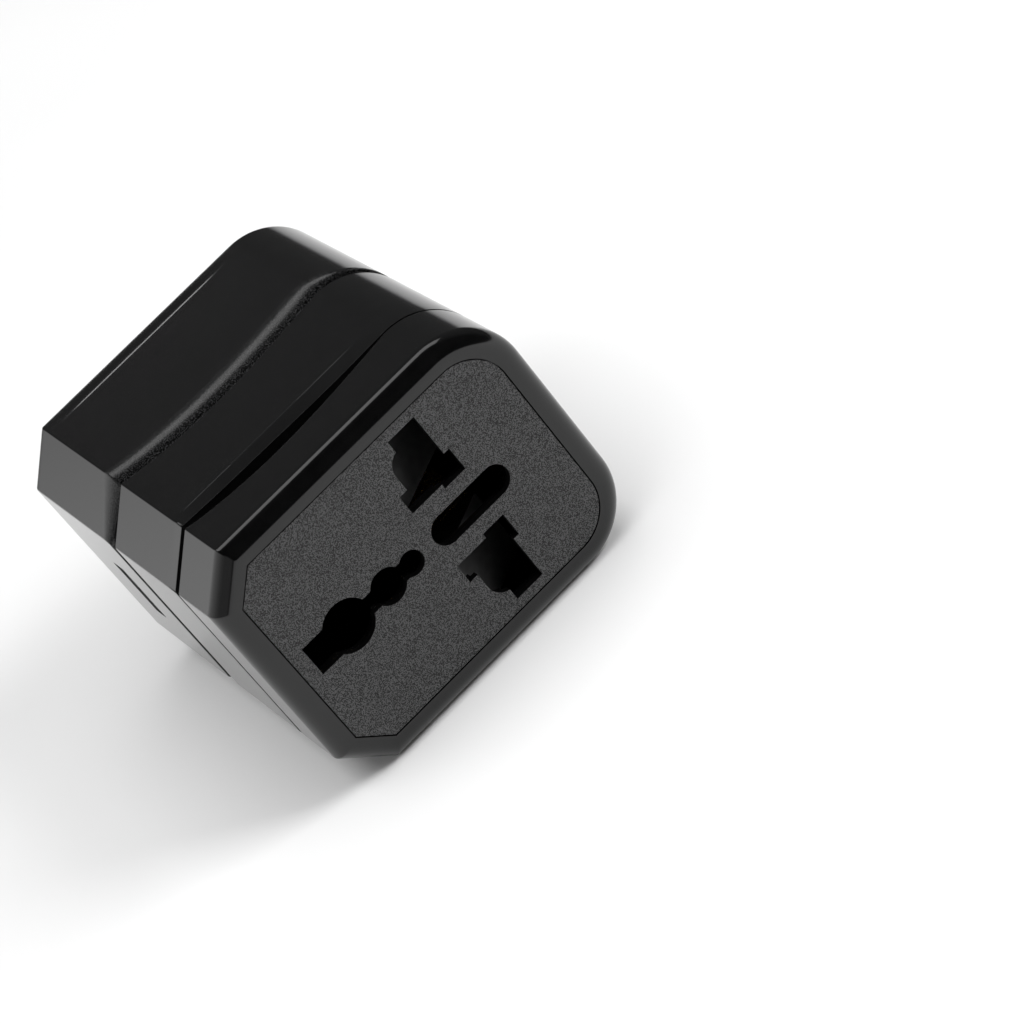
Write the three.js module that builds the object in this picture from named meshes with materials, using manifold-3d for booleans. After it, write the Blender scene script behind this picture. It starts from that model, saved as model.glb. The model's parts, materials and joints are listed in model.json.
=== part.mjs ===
// Universal travel adapter: a socket unit with UK pins, a pull-off travel module with folding
// EU pins and US blades. Millimetres. Shapes are drawn in adapter coordinates: x runs along the
// long side of the socket face towards its rounded end, y is the depth behind that face, and z
// runs across it. The last lines lay the adapter on one long side, with +Z up.
import * as THREE from 'three';
import { mergeVertices } from 'three/addons/utils/BufferGeometryUtils.js';
import Module from 'manifold-3d';

const wasm = await Module();
wasm.setup();

// Outer envelope
const HALF_LENGTH = 24.8;
const HALF_WIDTH = 19.3;
const DEPTH = 58.1;
const CHAMFER = 5.9;
const CORNER_RADIUS = 9.5;
const FRONT_ROUND = 2.5;
const REAR_ROUND = 1.3;

// Shells and seams
const WALL = 1.8;
const GAP = 0.3;
const OVERLAP = 0.2;
const PIN_HOLE_GAP = 0.15;
const SEAM_FRONT = 11.1;
const SEAM_REAR = 30.8;
const SEAM_BOW = 2.3;
const FRONT_GAP = { chamfered: 0.9, rounded: 0.3, from: -8, to: 10 };
const BEVEL = { end: 14.5, drop: 0.35 };
const ROLL = { length: 5.2, radius: 5.3, drop: 1.7 };
const CHAMFER_WEIGHT = 0.35;
const LIP = { inset: 1.2, length: 2.0, round: 0.3, drop: 0.8 };
const BOW_START = -18.9;
const BOW_END = 15.3;

// Socket face
const PANEL_INSET = 3.45;
const PANEL_THICKNESS = 1.0;
const PANEL_SETBACK = 0.05;
const PANEL_GAP = 0.2;
const FRONT_WALL = [1.35, 2.6];
const LINE_X = 7.14;
const PIN_PITCH = 22.2;
const SLOT_GROWTH = 0.5;

// Plugs of the three standards
const UK_PIN = { along: 6.35, thick: 4.0, length: 17.7, root: 22.9, collar: 0.5 };
const UK_EARTH = { along: 8.0, thick: 4.0, length: 22.7, root: 24.2, collar: 0, offset: 22.2 };
const EU_PIN = { radius: 2.0, pitch: 19.0, reach: 22.1 };
const US_BLADE = { width: 6.35, thick: 1.5, pitch: 12.7, reach: 21.0, corner: 1.2 };

// Folding plug axes
const EU_AXIS = { x: 13.5, y: 55.0, radius: 2.8, halfLength: 13.0 };
const US_AXIS = { x: 20.9, z: -10.2, radius: 2.9, y: 44.0, halfLength: 8.6 };
const AXLE_RADIUS = 0.9;
const RUNNING = 0.06;

const FINISH = {
  gloss: { color: 0x0c0c0d, roughness: 0.22, metalness: 0.0 },
  grained: { color: 0x1b1b1c, roughness: 0.75, metalness: 0.0 },
  satin: { color: 0x141415, roughness: 0.45, metalness: 0.0 },
  insulator: { color: 0x2a2a2b, roughness: 0.6, metalness: 0.0 },
  brass: { color: 0xb58a3e, roughness: 0.3, metalness: 1.0 },
  nickel: { color: 0xb9b7b0, roughness: 0.25, metalness: 1.0 },
  steel: { color: 0x8d9094, roughness: 0.35, metalness: 1.0 },
  ceramic: { color: 0xd9d2c2, roughness: 0.5, metalness: 0.0 },
};

const adapter = new THREE.Group();

// Solids and meshes

function toSolid(geometry) {
  const bare = geometry.clone();
  bare.deleteAttribute('normal');
  bare.deleteAttribute('uv');
  const merged = mergeVertices(bare, 1e-4);
  const mesh = new wasm.Mesh({
    numProp: 3,
    vertProperties: new Float32Array(merged.attributes.position.array),
    triVerts: new Uint32Array(merged.index.array),
  });
  return new wasm.Manifold(mesh);
}

function addNode(name, solid, finish) {
  const mesh = solid.getMesh();
  const geometry = new THREE.BufferGeometry();
  geometry.setAttribute('position', new THREE.BufferAttribute(new Float32Array(mesh.vertProperties), 3));
  geometry.setIndex(new THREE.BufferAttribute(new Uint32Array(mesh.triVerts), 1));
  geometry.computeVertexNormals();
  const node = new THREE.Mesh(geometry, new THREE.MeshStandardMaterial(FINISH[finish]));
  node.name = name;
  adapter.add(node);
}

function join(...solids) {
  return solids.reduce((whole, piece) => whole.add(piece));
}

function cut(body, ...tools) {
  return tools.reduce((rest, tool) => rest.subtract(tool), body);
}

function box([x0, x1], [y0, y1], [z0, z1]) {
  const geometry = new THREE.BoxGeometry(x1 - x0, y1 - y0, z1 - z0);
  geometry.translate((x0 + x1) / 2, (y0 + y1) / 2, (z0 + z1) / 2);
  return toSolid(geometry);
}

function around(centre, half) {
  return [centre - half, centre + half];
}

// A round bar along one axis ('x', 'y' or 'z') between two positions on it
function bar(axis, radius, [from, to], [a, b], segments = 16) {
  const geometry = new THREE.CylinderGeometry(radius, radius, to - from, segments);
  const middle = (from + to) / 2;
  if (axis === 'x') {
    geometry.rotateZ(-Math.PI / 2);
    geometry.translate(middle, a, b);
  } else if (axis === 'y') {
    geometry.translate(a, middle, b);
  } else {
    geometry.rotateX(Math.PI / 2);
    geometry.translate(a, b, middle);
  }
  return toSolid(geometry);
}

// A shape drawn in x and z, pushed through from one depth to another
function prism(shape, [y0, y1], curveSegments = 6) {
  const geometry = new THREE.ExtrudeGeometry(shape, {
    depth: y1 - y0,
    bevelEnabled: false,
    curveSegments,
  });
  geometry.rotateX(Math.PI / 2);
  geometry.translate(0, y1, 0);
  return toSolid(geometry);
}

function mirrored(solid) {
  return solid.mirror([0, 0, 1]);
}

// The body's cross-section

// Half of the face outline, from the chamfered end to the rounded one, all of it at z above 0
function outline(inset, sideSteps = 10, cornerSteps = 6) {
  const length = HALF_LENGTH - inset;
  const width = HALF_WIDTH - inset;
  const chamfer = CHAMFER - inset * (2 - Math.SQRT2);
  const radius = CORNER_RADIUS - inset;
  const points = [{ x: -length, z: width - chamfer }];
  const sideStart = -length + chamfer;
  const sideEnd = length - radius;
  for (let i = 0; i <= sideSteps; i += 1) {
    points.push({ x: sideStart + ((sideEnd - sideStart) * i) / sideSteps, z: width });
  }
  for (let i = 1; i <= cornerSteps; i += 1) {
    const angle = (Math.PI / 2) * (i / cornerSteps);
    points.push({ x: sideEnd + radius * Math.sin(angle), z: width - radius + radius * Math.cos(angle) });
  }
  return points;
}

// How far the seams on the long sides bow towards the socket face, from 0 to 1
function bow(x) {
  const t = THREE.MathUtils.clamp((x - BOW_START) / (BOW_END - BOW_START), 0, 1);
  return Math.sin(Math.PI * t ** 0.8);
}

// Full on the long sides, less over the chamfers, and nothing at the rounded end
function sideWeight(x) {
  const alongChamfer = THREE.MathUtils.smoothstep(x, -HALF_LENGTH, BOW_START);
  const roundedEnd = THREE.MathUtils.smoothstep(x, BOW_END - 3, HALF_LENGTH - 2);
  return THREE.MathUtils.lerp(CHAMFER_WEIGHT, 1, alongChamfer) * (1 - roundedEnd);
}

// One ring of the shell: an inset outline whose depth and side drop may vary along x
function ring(inset, depth, drop = () => 0) {
  return outline(inset).map(({ x, z }) => ({ x, y: depth(x), z: z - drop(x) }));
}

// A closed body stretched over rings in order of depth; each ring is mirrored below z = 0
function loft(rings) {
  const count = rings[0].length;
  const positions = [];
  rings.forEach((points) => {
    points.forEach(({ x, y, z }) => positions.push(x, y, z));
    points.forEach(({ x, y, z }) => positions.push(x, y, -z));
  });
  const upper = (k, i) => k * count * 2 + i;
  const lower = (k, i) => k * count * 2 + count + i;
  const index = [];
  const quad = (a, b, c, d) => index.push(a, b, c, a, c, d);
  const last = rings.length - 1;
  for (let k = 0; k < last; k += 1) {
    for (let i = 0; i < count - 1; i += 1) {
      quad(upper(k, i), upper(k, i + 1), upper(k + 1, i + 1), upper(k + 1, i));
      quad(lower(k, i + 1), lower(k, i), lower(k + 1, i), lower(k + 1, i + 1));
    }
    quad(lower(k, 0), upper(k, 0), upper(k + 1, 0), lower(k + 1, 0));
    quad(upper(k, count - 1), lower(k, count - 1), lower(k + 1, count - 1), upper(k + 1, count - 1));
  }
  for (let i = 0; i < count - 1; i += 1) {
    quad(upper(0, i), lower(0, i), lower(0, i + 1), upper(0, i + 1));
    quad(lower(last, i), upper(last, i), upper(last, i + 1), lower(last, i + 1));
  }
  const geometry = new THREE.BufferGeometry();
  geometry.setAttribute('position', new THREE.BufferAttribute(new Float32Array(positions), 3));
  geometry.setIndex(index);
  return toSolid(geometry);
}

// A plain block of the body's outline between two depths
function block(inset, [y0, y1]) {
  return loft([ring(inset, () => y0), ring(inset, () => y1)]);
}

const seamFront = (x) => SEAM_FRONT - SEAM_BOW * bow(x);
const seamRear = (x) => SEAM_REAR - SEAM_BOW * bow(x);

// Apertures

function rectangle([x0, x1], [z0, z1]) {
  return new THREE.Shape([
    new THREE.Vector2(x0, z0),
    new THREE.Vector2(x1, z0),
    new THREE.Vector2(x1, z1),
    new THREE.Vector2(x0, z1),
  ]);
}

function disc(x, z, radius) {
  return new THREE.Shape().absarc(x, z, radius, 0, Math.PI * 2);
}

// Openings of the universal socket, with x taken from the line pins and radii or half widths in z
const LINE_SLOTS = [
  { x: [-2.2, 2.2], z: [7.7, 14.4] },
  { x: [-0.4, 3.1], z: [4.2, 7.8] },
  { x: [-5.4, 0], z: [4.9, 7.8] },
  { x: [-4.1, 0], z: [7.7, 10.2] },
];
const LINE_HOLE = { x: -1.6, z: 10.2, radius: 2.5 };
const CENTRE_SLOT = { x: [-3.4, 4.9], radius: 2.15 };
const EARTH_SLOTS = [
  { x: [-26.4, -20], half: 2.3 },
  { x: [-20, -9.4], half: 1.3 },
];
const EARTH_HOLES = [
  { x: -20.2, radius: 3.6 },
  { x: -13.4, radius: 2.5 },
  { x: -9.4, radius: 1.75 },
];

function widened([from, to], by) {
  return [from - by, to + by];
}

function shifted([from, to], by) {
  return [from + by, to + by];
}

// Live aperture: a UK slot, a US and Australian slot beside it and a round EU hole, merged
function lineAperture(grow, depths) {
  const slots = LINE_SLOTS.map(({ x, z }) => {
    const along = widened(shifted(x, LINE_X), grow);
    return prism(rectangle(along, widened(z, grow)), depths);
  });
  return join(...slots, prism(disc(LINE_X + LINE_HOLE.x, LINE_HOLE.z, LINE_HOLE.radius + grow), depths));
}

// Centre slot, round at both ends
function centreAperture(grow, depths) {
  const radius = CENTRE_SLOT.radius + grow;
  const ends = shifted(CENTRE_SLOT.x, LINE_X);
  return join(
    ...ends.map((x) => prism(disc(x, 0, radius), depths)),
    prism(rectangle(ends, around(0, radius)), depths),
  );
}

// Earth aperture: a UK earth slot merged with round holes that shrink towards the line
function earthAperture(grow, depths) {
  const slots = EARTH_SLOTS.map(({ x, half }) => {
    const along = widened(shifted(x, LINE_X), grow);
    return prism(rectangle(along, around(0, half + grow)), depths);
  });
  const holes = EARTH_HOLES.map(({ x, radius }) => prism(disc(LINE_X + x, 0, radius + grow), depths));
  return join(...slots, ...holes);
}

function apertures(grow, depths) {
  const line = lineAperture(grow, depths);
  return [line, mirrored(line), centreAperture(grow, depths), earthAperture(grow, depths)];
}

// Main unit: shells

const SCREWS = [
  { name: 'upper_rounded', x: 17.2, z: 12.0 },
  { name: 'lower_rounded', x: 17.2, z: -12.0 },
  { name: 'upper_chamfered', x: -17.5, z: 11.4 },
  { name: 'lower_chamfered', x: -17.5, z: -11.4 },
];
const LINE_PIN_Z = PIN_PITCH / 2;
const EARTH_PIN_X = LINE_X - UK_EARTH.offset;
const SCREW = { shaft: 1.1, head: 2.1, from: 4.2, headDepth: 28.3, headHeight: 1.2 };
const BOSS = { radius: 2.3, bore: 1.4, floor: 0.4, end: 9.5 };
const SKIRT = { from: 7.0, thickness: 1.2, flange: 2.4 };
const MAIN_CAVITY_END = 26.6;
const SPRING_SEAT = { x: [-16.4, -15.2], end: 8.4, halfWidth: 3 };
const SPRING = { z: 9.4, y: 6.0, radius: 1.6, wire: 0.25, turns: 9 };

function roundedFront(rounding) {
  const angles = [0, 30, 60, 90].map((angle) => THREE.MathUtils.degToRad(angle));
  return angles.map((angle) => ring(
    rounding * (1 - Math.sin(angle)),
    () => rounding * (1 - Math.cos(angle)),
  ));
}

function roundedRear(rounding) {
  const angles = [0, 45, 90].map((angle) => THREE.MathUtils.degToRad(angle));
  return angles.map((angle) => ring(
    rounding * (1 - Math.cos(angle)),
    () => DEPTH - rounding * (1 - Math.sin(angle)),
  ));
}

function frontHousing() {
  const shell = cut(
    loft([...roundedFront(FRONT_ROUND), ring(0, seamFront)]),
    block(PANEL_INSET - PANEL_GAP, [-1, FRONT_WALL[0]]),
    block(WALL, [FRONT_WALL[1], SEAM_FRONT + 2]),
    ...apertures(SLOT_GROWTH, [-1, FRONT_WALL[1] + 1]),
  );
  const inside = FRONT_WALL[1] - OVERLAP;
  const bosses = bars(SCREWS, BOSS.radius, [inside, BOSS.end]);
  const bores = bars(SCREWS, BOSS.bore, [FRONT_WALL[1] + BOSS.floor, BOSS.end + 1], 12);
  const seat = box(SPRING_SEAT.x, [inside, SPRING_SEAT.end], around(SPRING.z, SPRING_SEAT.halfWidth));
  return cut(join(shell, ...bosses, seat, mirrored(seat)), ...bores);
}

function socketFace() {
  const plate = block(PANEL_INSET, [PANEL_SETBACK, PANEL_SETBACK + PANEL_THICKNESS]);
  return cut(plate, ...apertures(0, [-1, PANEL_THICKNESS + 1]));
}

// Holes for the three UK pins, with a clearance round each
function pinHoles(clearance, depths) {
  const line = box(
    around(LINE_X, UK_PIN.thick / 2 + clearance),
    depths,
    around(LINE_PIN_Z, UK_PIN.along / 2 + clearance),
  );
  const earth = box(
    around(EARTH_PIN_X, UK_EARTH.along / 2 + clearance),
    depths,
    around(0, UK_EARTH.thick / 2 + clearance),
  );
  return [line, mirrored(line), earth];
}

// One round bar along y at each of the given places
function bars(places, radius, depths, segments) {
  return places.map(({ x, z }) => bar('y', radius, depths, [x, z], segments));
}

// The rear housing's front edge: its gap to the front housing narrows towards the rounded end
function rearHousingFront(x) {
  const along = THREE.MathUtils.smoothstep(x, FRONT_GAP.from, FRONT_GAP.to);
  return SEAM_FRONT + THREE.MathUtils.lerp(FRONT_GAP.chamfered, FRONT_GAP.rounded, along);
}

function rearHousing() {
  const outer = loft([
    ring(0, rearHousingFront, (x) => BEVEL.drop * bow(x)),
    ring(0, () => BEVEL.end),
    ring(0, seamRear),
  ]);
  const skirtInset = WALL + GAP;
  const innerInset = skirtInset + SKIRT.thickness;
  const flangeEnd = SEAM_FRONT + SKIRT.flange;
  const rearWall = [MAIN_CAVITY_END - 1, SEAM_REAR + 1];
  return cut(
    join(outer, block(skirtInset, [SKIRT.from, flangeEnd - 1])),
    block(innerInset, [SKIRT.from - 1, flangeEnd + OVERLAP]),
    block(WALL, [flangeEnd, MAIN_CAVITY_END]),
    ...pinHoles(PIN_HOLE_GAP, rearWall),
    ...bars(SCREWS, BOSS.bore, rearWall, 12),
    ...bars(SCREWS, SCREW.head + GAP, [SCREW.headDepth - GAP, SEAM_REAR + 1]),
  );
}

const CROSS = { reach: 1.05, half: 0.24 };

// A cylindrical-head screw along y, with a cross recess at the given depths
function crossScrew({ x, z }, { shaft, head }, shaftDepths, headDepths, recess) {
  return cut(
    join(bar('y', shaft, shaftDepths, [x, z], 12), bar('y', head, headDepths, [x, z])),
    box(around(x, CROSS.reach), recess, around(z, CROSS.half)),
    box(around(x, CROSS.half), recess, around(z, CROSS.reach)),
  );
}

function shellScrew(place) {
  const top = SCREW.headDepth + SCREW.headHeight;
  const recess = [SCREW.headDepth + SCREW.headHeight * 0.35, top + 1];
  return crossScrew(place, SCREW, [SCREW.from, SCREW.headDepth + OVERLAP], [SCREW.headDepth, top], recess);
}

// Main unit: shutters

const GUIDE = { radius: 0.8, length: 5, root: 0.5 };
const SHUTTER = { x: [0.6, 10.8], lip: 2.2, z: [4.2, 14.6], front: 2.9, slopeEnd: 8.4, back: 9.2 };

// A wedge under one line aperture: a pin pushed in slides it towards the chamfered end
function shutter() {
  const [x0, x1] = SHUTTER.x;
  const [z0, z1] = SHUTTER.z;
  const side = new THREE.Shape([
    new THREE.Vector2(x0, SHUTTER.front),
    new THREE.Vector2(SHUTTER.lip, SHUTTER.front),
    new THREE.Vector2(x1, SHUTTER.slopeEnd),
    new THREE.Vector2(x1, SHUTTER.back),
    new THREE.Vector2(x0, SHUTTER.back),
  ]);
  const geometry = new THREE.ExtrudeGeometry(side, { depth: z1 - z0, bevelEnabled: false });
  geometry.translate(0, 0, z0);
  const guideSpan = [x0 - GUIDE.length, x0 + GUIDE.root];
  const guide = bar('x', GUIDE.radius, guideSpan, [SPRING.y, SPRING.z], 10);
  return join(toSolid(geometry), guide);
}

// A coil along x between the spring seat and the shutter
class Coil extends THREE.Curve {
  constructor(from, to) {
    super();
    this.from = from;
    this.to = to;
  }

  getPoint(t, target = new THREE.Vector3()) {
    const angle = 2 * Math.PI * SPRING.turns * t;
    const x = THREE.MathUtils.lerp(this.from, this.to, t);
    const y = SPRING.y + SPRING.radius * Math.cos(angle);
    return target.set(x, y, SPRING.z + SPRING.radius * Math.sin(angle));
  }
}

function shutterSpring() {
  const coil = new Coil(SPRING_SEAT.x[1] + GAP, SHUTTER.x[0] - GAP);
  const section = new THREE.Shape().absarc(0, 0, SPRING.wire, 0, Math.PI * 2);
  return toSolid(new THREE.ExtrudeGeometry(section, {
    extrudePath: coil,
    steps: SPRING.turns * 12,
    curveSegments: 3,
    bevelEnabled: false,
  }));
}

// Main unit: current path

const CONTACT = { front: 9.9, base: 20.4, sheet: 0.7, jawX: [-3.4, 2.7], halfLength: 3.4 };
const CONTACT_Z = { leaf: [4.6, 5.2], jaw: [8.4, 14.4] };
const CARRIER = [24.4, 26.2];
const EARTH_CONTACT = { front: 12.0, base: 23.2, x: [-4.3, 4.4], jaw: [2.7, 3.4] };
const FUSE = { x: [-14.5, 0.5], y: 18.0, z: 10.0, cap: 2.5, tube: 2.2, capLength: 3.2 };
const CLIP = { halfLength: 1.2, wall: 0.5, mouth: 2.0, foot: 0.6 };

// Two UK jaws and one blade leaf standing on a common base
function lineContact() {
  const depths = [CONTACT.front, CONTACT.base + OVERLAP];
  const jaws = CONTACT.jawX.map((x) => box(
    [LINE_X + x, LINE_X + x + CONTACT.sheet],
    depths,
    CONTACT_Z.jaw,
  ));
  const along = around(LINE_X, CONTACT.halfLength);
  const base = [CONTACT.base, CONTACT.base + CONTACT.sheet];
  return join(
    ...jaws,
    box(along, depths, CONTACT_Z.leaf),
    box(along, base, [CONTACT_Z.leaf[0], CONTACT_Z.jaw[1]]),
  );
}

function earthContact() {
  const x = shifted(EARTH_CONTACT.x, EARTH_PIN_X);
  const jaw = box(x, [EARTH_CONTACT.front, EARTH_CONTACT.base + OVERLAP], EARTH_CONTACT.jaw);
  const base = [EARTH_CONTACT.base, EARTH_CONTACT.base + CONTACT.sheet];
  return join(jaw, mirrored(jaw), box(x, base, around(0, EARTH_CONTACT.jaw[1])));
}

function contactCarrier() {
  const through = widened(CARRIER, 1);
  return cut(
    block(WALL + GAP, CARRIER),
    ...pinHoles(PIN_HOLE_GAP, through),
    ...bars(SCREWS, BOSS.bore, through, 12),
  );
}

function fuse() {
  const [x0, x1] = FUSE.x;
  const centre = [FUSE.y, FUSE.z];
  return join(
    bar('x', FUSE.tube, [x0 + 1, x1 - 1], centre),
    bar('x', FUSE.cap, [x0, x0 + FUSE.capLength], centre),
    bar('x', FUSE.cap, [x1 - FUSE.capLength, x1], centre),
  );
}

// A sprung U that grips one cap of the fuse and stands on the carrier
function fuseClip(x) {
  const hollow = FUSE.cap + 0.1;
  const foot = CARRIER[0] - GAP;
  const through = around(x, CLIP.halfLength + 1);
  return cut(
    box(around(x, CLIP.halfLength), [FUSE.y - CLIP.mouth, foot], around(FUSE.z, hollow + CLIP.wall)),
    bar('x', hollow, through, [FUSE.y, FUSE.z]),
    box(through, [FUSE.y - CLIP.mouth - 1, FUSE.y], around(FUSE.z, hollow * 0.9)),
    box(through, [FUSE.y + hollow + CLIP.wall, foot - CLIP.foot], around(FUSE.z, hollow)),
  );
}

const BUS_BAR = { y: [22.2, 22.8], z: [14.6, 16.0], clipX: [-13.8, -11.8], clipZ: 13.4 };
const BUS_BAR_FOOT = { x: [9.9, 10.4], end: 24.0, z: 10 };

// Joins the far fuse clip to the live pin along the side of the carrier
function liveBusBar() {
  const [x0, x1] = [BUS_BAR.clipX[0], BUS_BAR_FOOT.x[1]];
  return join(
    box([x0, x1], BUS_BAR.y, BUS_BAR.z),
    box(BUS_BAR.clipX, BUS_BAR.y, [BUS_BAR.clipZ, BUS_BAR.z[0] + OVERLAP]),
    box(BUS_BAR_FOOT.x, [BUS_BAR.y[0], BUS_BAR_FOOT.end], [BUS_BAR_FOOT.z, BUS_BAR.z[1]]),
  );
}

const PIN_TIP = { chamfer: 1.0, length: 1.5 };
const PIN_COLLAR_LENGTH = 1.3;

// A block that narrows by the tip's chamfer from its first depth to its second
function taper(xRange, zRange, [y0, y1]) {
  const positions = [];
  [[y0, 0], [y1, PIN_TIP.chamfer]].forEach(([y, inset]) => {
    const [xa, xb] = widened(xRange, -inset);
    const [za, zb] = widened(zRange, -inset);
    positions.push(xa, y, za, xb, y, za, xb, y, zb, xa, y, zb);
  });
  const index = [0, 1, 2, 0, 2, 3, 4, 6, 5, 4, 7, 6];
  for (let i = 0; i < 4; i += 1) {
    const j = (i + 1) % 4;
    index.push(i, i + 4, j + 4, i, j + 4, j);
  }
  const geometry = new THREE.BufferGeometry();
  geometry.setAttribute('position', new THREE.BufferAttribute(new Float32Array(positions), 3));
  geometry.setIndex(index);
  return toSolid(geometry);
}

// A rectangular pin with a chamfered tip, and a collar at its root where there is room for one
function plugPin(xRange, zRange, { length, root, collar }) {
  const tip = SEAM_REAR + length;
  const shoulder = tip - PIN_TIP.length;
  return join(
    box(xRange, [root, shoulder], zRange),
    taper(xRange, zRange, [shoulder, tip]),
    box(widened(xRange, collar), [root, root + PIN_COLLAR_LENGTH], widened(zRange, collar)),
  );
}

// Travel module: shell and plate

const MODULE_FRONT = 0.4;
const MODULE_CAVITY = { frontInset: 3.0, step: 36.4, end: 56.3 };
const PLATE = { depths: [31.7, 33.3], inset: 3.3 };
const MODULE_SCREWS = [
  { name: 'upper_chamfered', x: -18.4, z: 10.5, rib: [[-24, -18], 'x'] },
  { name: 'lower_chamfered', x: -18.4, z: -10.5, rib: [[-24, -18], 'x'] },
  { name: 'upper_rounded', x: 13.8, z: 12.8, rib: [[12.8, 18], 'z'] },
  { name: 'lower_rounded', x: 13.8, z: -12.8, rib: [[-18, -12.8], 'z'] },
];
const MODULE_BOSS = { radius: 2.1, bore: 1.1, depths: [33.6, 42] };
const MODULE_SCREW = { shaft: 0.8, head: 1.7, end: 40, headDepths: [31.9, 32.7] };
const EU_WINDOW = { halfX: 3.1, halfZ: 13.4, from: 51.9 };
const EU_SLOT = { x: [-12.6, EU_AXIS.x], halfWidth: 2.35 };
const EU_SLOT_DEPTH = 53;
const EU_LUG = { halfX: 2.6, y: [52.2, 56.5], z: [13.6, 17.7] };
const US_LUG = { x: [17.9, 23.4], depths: [[33.7, 35.1], [53.0, 56.5]], halfZ: 3 };
const US_SLOT = { x: 17.4, half: 1.05, below: 3.6, above: 0.7 };
const US_AXLE_HOLE = [34, 54.2];
const EU_AXLE_HOLE_HALF = 17;
const RIB_HALF = 0.6;
const LABEL = { y: 44.0, halfY: 1.45, z: [-5.4, 3.9], setback: 0.05, thickness: 0.3, gap: 0.2 };

function usBladeDepths() {
  return [US_AXIS.y - US_BLADE.pitch / 2, US_AXIS.y + US_BLADE.pitch / 2];
}

// A recessed lip runs round the front, and the long sides roll down to it, which leaves a groove to
// grip the module by
function travelShell() {
  const { lerp } = THREE.MathUtils;
  const front = (x) => seamRear(x) + MODULE_FRONT;
  const steepest = Math.acos(1 - ROLL.drop / ROLL.radius);
  const reach = (part, x) => {
    const rolled = ROLL.length - ROLL.radius * Math.sin(steepest * part);
    return front(x) + lerp(LIP.length + LIP.round * (1 - part), rolled, sideWeight(x));
  };
  const lipDrop = (x) => LIP.drop * sideWeight(x);
  const lip = [front, (x) => reach(1, x)].map((depth) => ring(LIP.inset, depth, lipDrop));
  const roll = [1, 0.8, 0.6, 0.4, 0.2, 0].map((part) => ring(
    0,
    (x) => reach(part, x),
    (x) => ROLL.radius * (1 - Math.cos(steepest * part)) * sideWeight(x),
  ));
  return loft([...lip, ...roll, ...roundedRear(REAR_ROUND)]);
}

// A boss for each module screw, with a rib to the nearest wall
function moduleBosses() {
  const ribs = MODULE_SCREWS.map(({ x, z, rib: [range, axis] }) => (axis === 'x'
    ? box(range, MODULE_BOSS.depths, around(z, RIB_HALF))
    : box(around(x, RIB_HALF), MODULE_BOSS.depths, range)));
  return [...bars(MODULE_SCREWS, MODULE_BOSS.radius, MODULE_BOSS.depths), ...ribs];
}

// Lugs that hold the ends of both axles
function axleLugs() {
  const euLug = box(around(EU_AXIS.x, EU_LUG.halfX), EU_LUG.y, EU_LUG.z);
  const usLugs = US_LUG.depths.map((depths) => box(US_LUG.x, depths, around(US_AXIS.z, US_LUG.halfZ)));
  return [euLug, mirrored(euLug), ...usLugs];
}

// Openings in the rear face for the EU pins and their barrel
function euOpenings() {
  const slot = box(EU_SLOT.x, [EU_SLOT_DEPTH, DEPTH + 1], around(EU_PIN.pitch / 2, EU_SLOT.halfWidth));
  const { halfX, halfZ, from } = EU_WINDOW;
  return [box(around(EU_AXIS.x, halfX), [from, DEPTH + 1], around(0, halfZ)), slot, mirrored(slot)];
}

// Openings in the rounded end for the US blades and their barrel
function usOpenings() {
  const along = [US_AXIS.z - US_SLOT.below, US_AXIS.z + US_BLADE.reach + US_SLOT.above];
  const through = [US_SLOT.x, HALF_LENGTH + 1];
  const slots = usBladeDepths().map((y) => box(through, around(y, US_SLOT.half), along));
  const span = around(US_AXIS.y, US_AXIS.halfLength + OVERLAP);
  return [...slots, bar('y', US_AXIS.radius + GAP, span, [US_AXIS.x, US_AXIS.z])];
}

function labelPocket() {
  return box(
    [-HALF_LENGTH - 1, -HALF_LENGTH + LABEL.thickness + LABEL.gap],
    around(LABEL.y, LABEL.halfY + LABEL.gap),
    widened(LABEL.z, LABEL.gap),
  );
}

function travelHousing() {
  const hollow = cut(
    travelShell(),
    block(MODULE_CAVITY.frontInset, [SEAM_REAR - SEAM_BOW - 1, MODULE_CAVITY.step + 0.1]),
    block(WALL, [MODULE_CAVITY.step, MODULE_CAVITY.end]),
  );
  const boreDepths = [PLATE.depths[0], MODULE_BOSS.depths[1] - 1];
  return cut(
    join(hollow, ...moduleBosses(), ...axleLugs()),
    ...bars(MODULE_SCREWS, MODULE_BOSS.bore, boreDepths, 12),
    ...euOpenings(),
    ...usOpenings(),
    bar('z', AXLE_RADIUS + RUNNING, around(0, EU_AXLE_HOLE_HALF), [EU_AXIS.x, EU_AXIS.y]),
    bar('y', AXLE_RADIUS + RUNNING, US_AXLE_HOLE, [US_AXIS.x, US_AXIS.z]),
    labelPocket(),
  );
}

function modulePlate() {
  const through = widened(PLATE.depths, 1);
  const counterbore = [through[0], MODULE_SCREW.headDepths[1] + PIN_HOLE_GAP];
  return cut(
    block(PLATE.inset, PLATE.depths),
    ...pinHoles(GAP, through),
    ...bars(MODULE_SCREWS, MODULE_BOSS.bore, through, 12),
    ...bars(MODULE_SCREWS, MODULE_SCREW.head + OVERLAP, counterbore),
  );
}

function moduleScrew(place) {
  const [face, under] = MODULE_SCREW.headDepths;
  const recess = [face - 1, face + 0.5];
  return crossScrew(place, MODULE_SCREW, [under - 0.1, MODULE_SCREW.end], [face, under], recess);
}

function labelBar() {
  return box(
    [-HALF_LENGTH + LABEL.setback, -HALF_LENGTH + LABEL.thickness],
    around(LABEL.y, LABEL.halfY),
    LABEL.z,
  );
}

// Travel module: current path

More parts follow.
